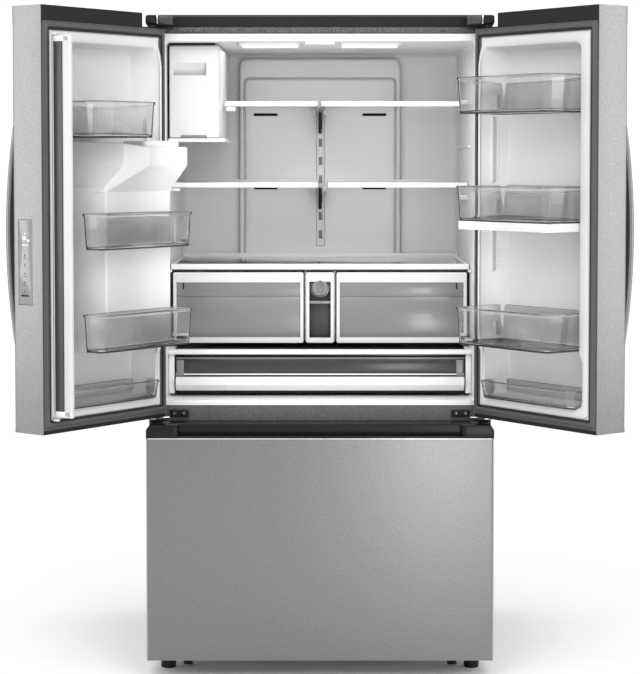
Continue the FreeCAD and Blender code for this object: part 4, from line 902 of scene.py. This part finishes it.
def make_chute():
    """Ice chute: a faceted housing that narrows downwards on to the bulge behind the dispenser."""
    def top(x):
        turn = min(1, max(0, (x - 184) / 110))
        return 1391 + 15 * turn * turn * (3 - 2 * turn)

    loops = []
    for share, height in ((0, 1278), (0.04, 1282), (0.9, 1337), (0.97, 1342), (1, 1347), (1, 1356)):
        corners = [tuple(Vector(low).lerp(Vector(high), share)) for low,
                high in zip(CHUTE_BASE, CHUTE_BAND)]
        loops.append([(u, v, height) for u, v in rounded(corners, [2, 3, 12, 7, 7], 6)])
    for inset, drop in ((0, 5), (0.6, 2.5), (2.4, 0.6), (5, 0)):
        outline = rounded(offset(CHUTE_BAND, inset), [2, 3, 12, 7, 7], 6)
        loops.append([(u, v, top(u) - drop) for u, v in outline])
    door_piece("left", "chute_housing", Shape().loft(loops), "door_back", ["ice_chute"], sharp=24)
    lip = Shape().frame(rect(50, 184, 58, 141), rect(66, 168, 72, 128), "z", 1387, 1406, 14, 9, 3)
    door_piece("left", "chute_lip", lip, "white_liner")
    mouth = Shape().slab(rect(66, 168, 72, 128), "z", 1390, 1396, 8, 0.6)
    door_piece("left", "chute_mouth", mouth, "dispenser_grey")
    corners = [(46, -20), (332, -20), (293, 108), (50, 108)]
    loops = []
    for inset, height in ((10, 879), (4, 881), (0.8, 886), (0, 894), (0, 1280), (0.5, 1286), (3, 1290)):
        loops.append([(u, v, height) for u, v in rounded(offset(corners, inset), [2, 2, 8, 8], 8)])
    door_piece("left", "dispenser_bulge", Shape().loft(loops), "door_back")


def make_mullion():
    body = Shape()
    body.slab([(383, 42), (405, 42), (405, 99), (399, 99), (383, 76)], "z", 727, 1661, 4, 2)
    body.slab(rect(398, 409, 72.5, 99), "z", 728, 1660, 5, 2)
    body.slab(rect(398, 408.8, 41, 43), "z", 734, 1654, 0.8, 0.6)
    door_piece("left", "mullion_body", body, "door_back", ["flipper_mullion"], body="flipper_mullion")
    plate = Shape().slab(rect(404, 408.6, 43.5, 71), "z", 738, 1650, 1.2, 0.6)
    door_piece("left", "mullion_plate", plate, "mullion_steel", body="flipper_mullion")
    caps = Shape()
    for low, high in ((1646, 1661), (727, 742)):
        caps.slab([(386, 44), (409, 44), (409, 98), (398, 98), (386, 78)], "z", low, high, 3, 1.5)
    door_piece("left", "mullion_caps", caps, "white_liner", body="flipper_mullion")
    arms = Shape()
    for low in (1663, 716):
        arms.box((398, 409), (34, 50), (low, low + 5), 3, 1)
    door_piece("left", "mullion_arms", arms, "white_liner")


def digit(shape, segments, x, y, z, size):
    """A seven-segment digit on the free edge: x outwards, y across, z up."""
    half = size / 2
    bars = {"a": (0, size, 1), "b": (half / 1.2, half, 0), "c": (half / 1.2, -half, 0),
            "d": (0, -size, 1),
            "e": (-half / 1.2, -half, 0), "f": (-half / 1.2, half, 0), "g": (0, 0, 1)}
    for key in segments:
        across, up, flat = bars[key]
        wide, tall = (half * 0.66, 0.45) if flat else (0.45, half * 0.78)
        shape.box((x - 0.4, x + 0.25), (y + across - wide, y + across + wide),
                (z + up - tall, z + up + tall), 0.2, 0.1)


def make_panel():
    glass = Shape().slab(rect(-51, -5, 1002, 1211), "x", 432, 437.2, 3, 0.6)
    door_piece("left", "touch_glass", glass, "panel_glass", ["control_panel"])
    marks = Shape()
    digit(marks, "acdfg", 437.3, -35, 1166, 3.6)
    digit(marks, "abcdefg", 437.3, -29, 1166, 3.6)
    digit(marks, "abged", 437.3, -20, 1160, 2.4)
    digit(marks, "fgbc", 437.3, -16, 1160, 2.4)
    for step in range(3):
        marks.box((436.8, 437.5), (-38 + 8 * step, -34 + 8 * step), (1148, 1149.4), 0.2, 0.1)
    marks.lathe((0, -30, 1177), "x", [(1.1, 436.8), (1.4, 437.5), (0.3, 437.5)], 12)
    door_piece("left", "touch_marks", marks, "lamp_lens")
    icons = Shape()
    for step, width in enumerate((5, 3, 8, 5, 9)):
        height = 1116 - 22 * step
        icons.box((436.8, 437.4), (-30 - width, -30 + width), (height, height + 1.2), 0.2, 0.1)
        icons.lathe((0, -30, height + 7), "x", [(1.6, 436.8), (2, 437.4), (0.3, 437.4)], 12)
    icons.box((436.8, 437.4), (-44, -16), (1022, 1026), 0.6, 0.1)
    door_piece("left", "touch_icons", icons, "black_cover")


def make_dispenser():
    bezel = Shape().frame(rect(110, 312, 959, 1283), rect(119, 303, 968, 1274), "y", -72, -66, 18, 12,
            1.6, 8)
    door_piece("left", "niche_bezel", bezel, "dark_trim")
    nozzle = Shape().lathe((211, -22, 0), "z",
            [(9, 1157), (11, 1156), (13.5, 1160), (15, 1178), (22, 1190), (22, 1192)], 32)
    door_piece("left", "nozzle_cone", nozzle, "black_cover")
    grille = Shape()
    for step in range(9):
        grille.box((131 + 18 * step, 139 + 18 * step), (-64, -14), (977, 980.4), 2, 0.6)
    grille.frame(rect(121, 301, -67.5, -10.5), rect(127, 295, -62, -16), "z", 977, 981, 6, 3, 0.8)
    piece("tray_grille", grille, DOOR["left"], "drip_tray", "stainless")
    screen = Shape().slab(rect(128, 294, 1204, 1266), "y", -71.6, -69.6, 5, 0.6)
    door_piece("left", "niche_screen", screen, "panel_glass")
    pad = Shape()
    pad.slab([(-1, 1034), (4, 1034), (5, 1180), (0, 1182), (-3, 1100)], "x", 188, 234, 2, 1.2)
    piece("paddle_pad", pad, DOOR["left"], "dispenser_paddle", "black_cover", ["dispenser_paddle"])


# back, front, low and high of each bin, and its edge nearest the hinge
BIN_ROWS = {
    "left": ((-21, 173, 1414, 1502, 178), (108.5, 173, 1139, 1227, 40), (108.5, 173, 888, 980, 40),
            (-21, 60, 742, 788, 40)),
    "right": ((-21, 145, 1476, 1569, 40), (-21, 145, 1203, 1292, 40), (-21, 145, 886, 981, 40),
            (-21, 60, 742, 787, 40)),
}
for side in ("left", "right"):
    make_skin(side)
    make_liner(side)
    make_seal(side)
    make_handle(side)
    make_bins(side, BIN_ROWS[side])
make_chute()
make_mullion()
make_panel()
make_dispenser()


# ---- freezer drawer ----

def drawer_piece(name, shape, slot, replaces=(), body="freezer_drawer", sharp=32, wall=0):
    return piece(name, shape, CABINET, body, slot, replaces, sharp, wall)


def make_drawer():
    outer = [(-454, -12), (-454, -112), (454, -112), (454, -12)]
    inner = [(452.3, -12), (452.3, -110.3), (-452.3, -110.3), (-452.3, -12)]
    outline = rounded(outer + inner, [0.7, 8, 8, 0.7, 0.7, 6, 6, 0.7], 6)
    skin = Shape().loft([[(u, v, height) for u, v in outline] for height in (50, 634)])
    drawer_piece("drawer_sheet", skin, "stainless", ["drawer_skin"])
    base = Shape().box((-453, 453), (-111, -13), (50, 53), 6, 1)
    drawer_piece("drawer_hem", base, "stainless")
    trim = Shape()
    corners = [(-454, -112), (-368, -112), (-368, -82), (368, -82), (368, -112), (454, -112), (454, -12),
            (-454, -12)]
    radii = [8, 29, 3, 3, 29, 8, 2, 2]
    loops = []
    for inset, height in ((0.6, 634.5), (0, 636), (0, 665), (0.8, 668), (2.6, 669)):
        loops.append([(u, v, height) for u, v in rounded(offset(corners, inset), radii, 10)])
    trim.loft(loops)
    item = drawer_piece("drawer_trim", trim, "dark_trim", ["drawer_top_trim"])
    cutters = []
    for hand in (-1, 1):
        wedge = [(-470, 654), (-454.3, 654), (-444, 669.4), (-444, 680), (-470, 680)]
        if hand > 0:
            wedge = [(-x, z) for x, z in reversed(wedge)]
        cutters.append(Shape().slab(wedge, "y", -120, 0, 0.3, 0.2))
    carve(item, cutters, CABINET)
    ledge = Shape().box((-380, 380), (-111.5, -70), (634, 639.5), 3, 1.2)
    drawer_piece("drawer_ledge", ledge, "dark_trim")
    # The bright steel strip along the stainless sheet's top edge is a painted highlight.
    line = Shape().box((-450, 450), (-112.4, -104), (631.5, 634.2), 4, 0.6)
    drawer_piece("drawer_edge_highlight", line, "rail_steel")


def slotted(name, x, y, z, body, replaces):
    """A moulded basket: a rolled rim, a floor and walls of upright bars."""
    shape = tub_shape(x, y, (z[0], z[0] + 46), 3, 22, 4)
    rim = Shape().frame(rect(*x, *y), offset(rect(*x, *y), 12), "z", z[1] - 14, z[1], 16, 8, 3)
    bars = Shape()
    gap = 34
    for wall_y in (y[0] + 5, y[1] - 5):
        for step in range(int((x[1] - x[0] - 60) / gap) + 1):
            left = x[0] + 30 + step * gap
            bars.box((left, left + 14), (wall_y - 1.5, wall_y + 1.5), (z[0] + 40, z[1] - 8), 1.2, 0.8)
    for wall_x in (x[0] + 5, x[1] - 5):
        for step in range(int((y[1] - y[0] - 60) / gap) + 1):
            front = y[0] + 30 + step * gap
            bars.box((wall_x - 1.5, wall_x + 1.5), (front, front + 14), (z[0] + 40, z[1] - 8), 1.2, 0.8)
    piece(f"{name}_tray", shape, CABINET, body, "white_liner", replaces)
    piece(f"{name}_rim", rim, CABINET, body, "white_liner")
    piece(f"{name}_bars", bars, CABINET, body, "white_liner")


make_drawer()
slotted("deep_basket", (-372, 372), (-2, 470), (150, 470), "freezer_drawer", ["freezer_basket"])
slotted("top_basket", (-366, 366), (0, 250), (472, 600), "upper_basket", ["upper_basket"])


# ---- stage, light and camera ----

def plane(name, corners, material):
    mesh = bpy.data.meshes.new(name)
    mesh.from_pydata(corners, [], [(0, 1, 2, 3)])
    item = bpy.data.objects.new(name, mesh)
    bpy.context.scene.collection.objects.link(item)
    mesh.materials.append(material)


floor_finish = surface("floor", grey(0.97), 0.75, 0.0, 0.01, 3, 0.02, 60)
plane("floor", [(-12, -12, 0), (12, -12, 0), (12, 12, 0), (-12, 12, 0)], floor_finish)

world = bpy.data.worlds.new("soft_studio")
world.use_nodes = True
world.node_tree.nodes["Background"].inputs["Color"].default_value = (1, 1, 1, 1)
world.node_tree.nodes["Background"].inputs["Strength"].default_value = 1.06
bpy.context.scene.world = world


def area_light(name, place, aim, size, power):
    data = bpy.data.lights.new(name, "AREA")
    data.shape = "RECTANGLE"
    data.size, data.size_y = size
    data.energy = power
    lamp = bpy.data.objects.new(name, data)
    lamp.location = place
    lamp.rotation_euler = (Vector(aim) - Vector(place)).to_track_quat("-Z", "Y").to_euler()
    lamp.visible_camera = False
    bpy.context.scene.collection.objects.link(lamp)
    return lamp


area_light("key", (-1.3, -3.9, 3.5), (0, 0, 1.1), (2.0, 1.6), 56)
area_light("fill", (1.5, -4.2, 3.3), (0, 0, 1.0), (2.0, 1.6), 46)
area_light("cabinet_light", (0, 0.1, 1.655), (0, 0.14, 0.5), (0.62, 0.26), 1.0)
area_light("inside_light", (0, -0.45, 1.25), (0, 0.4, 1.25), (0.7, 0.7), 2.4).visible_glossy = False
area_light("low_strip", (0.62, -2.5, 0.5), (0.3, -0.27, 0.4), (0.3, 0.9), 6.5)
for hand in (-1, 1):
    strip = area_light(f"side_{hand}", (3.5 * hand, -0.9, 1.55), (0.62 * hand, -0.4, 1.3), (1.3, 2.2),
            25)
    strip.visible_diffuse = False

camera_data = bpy.data.cameras.new("camera")
camera_data.sensor_fit = "VERTICAL"
camera_data.sensor_height = 36
camera_data.lens = 106.8
camera_data.shift_y = -0.12
camera = bpy.data.objects.new("camera", camera_data)
camera.location = (0, -5.442, 1.362)
camera.rotation_euler = (math.radians(90 - 2.8), 0, 0)
bpy.context.scene.collection.objects.link(camera)
bpy.context.scene.camera = camera
bpy.context.scene.view_settings.view_transform = "Standard"
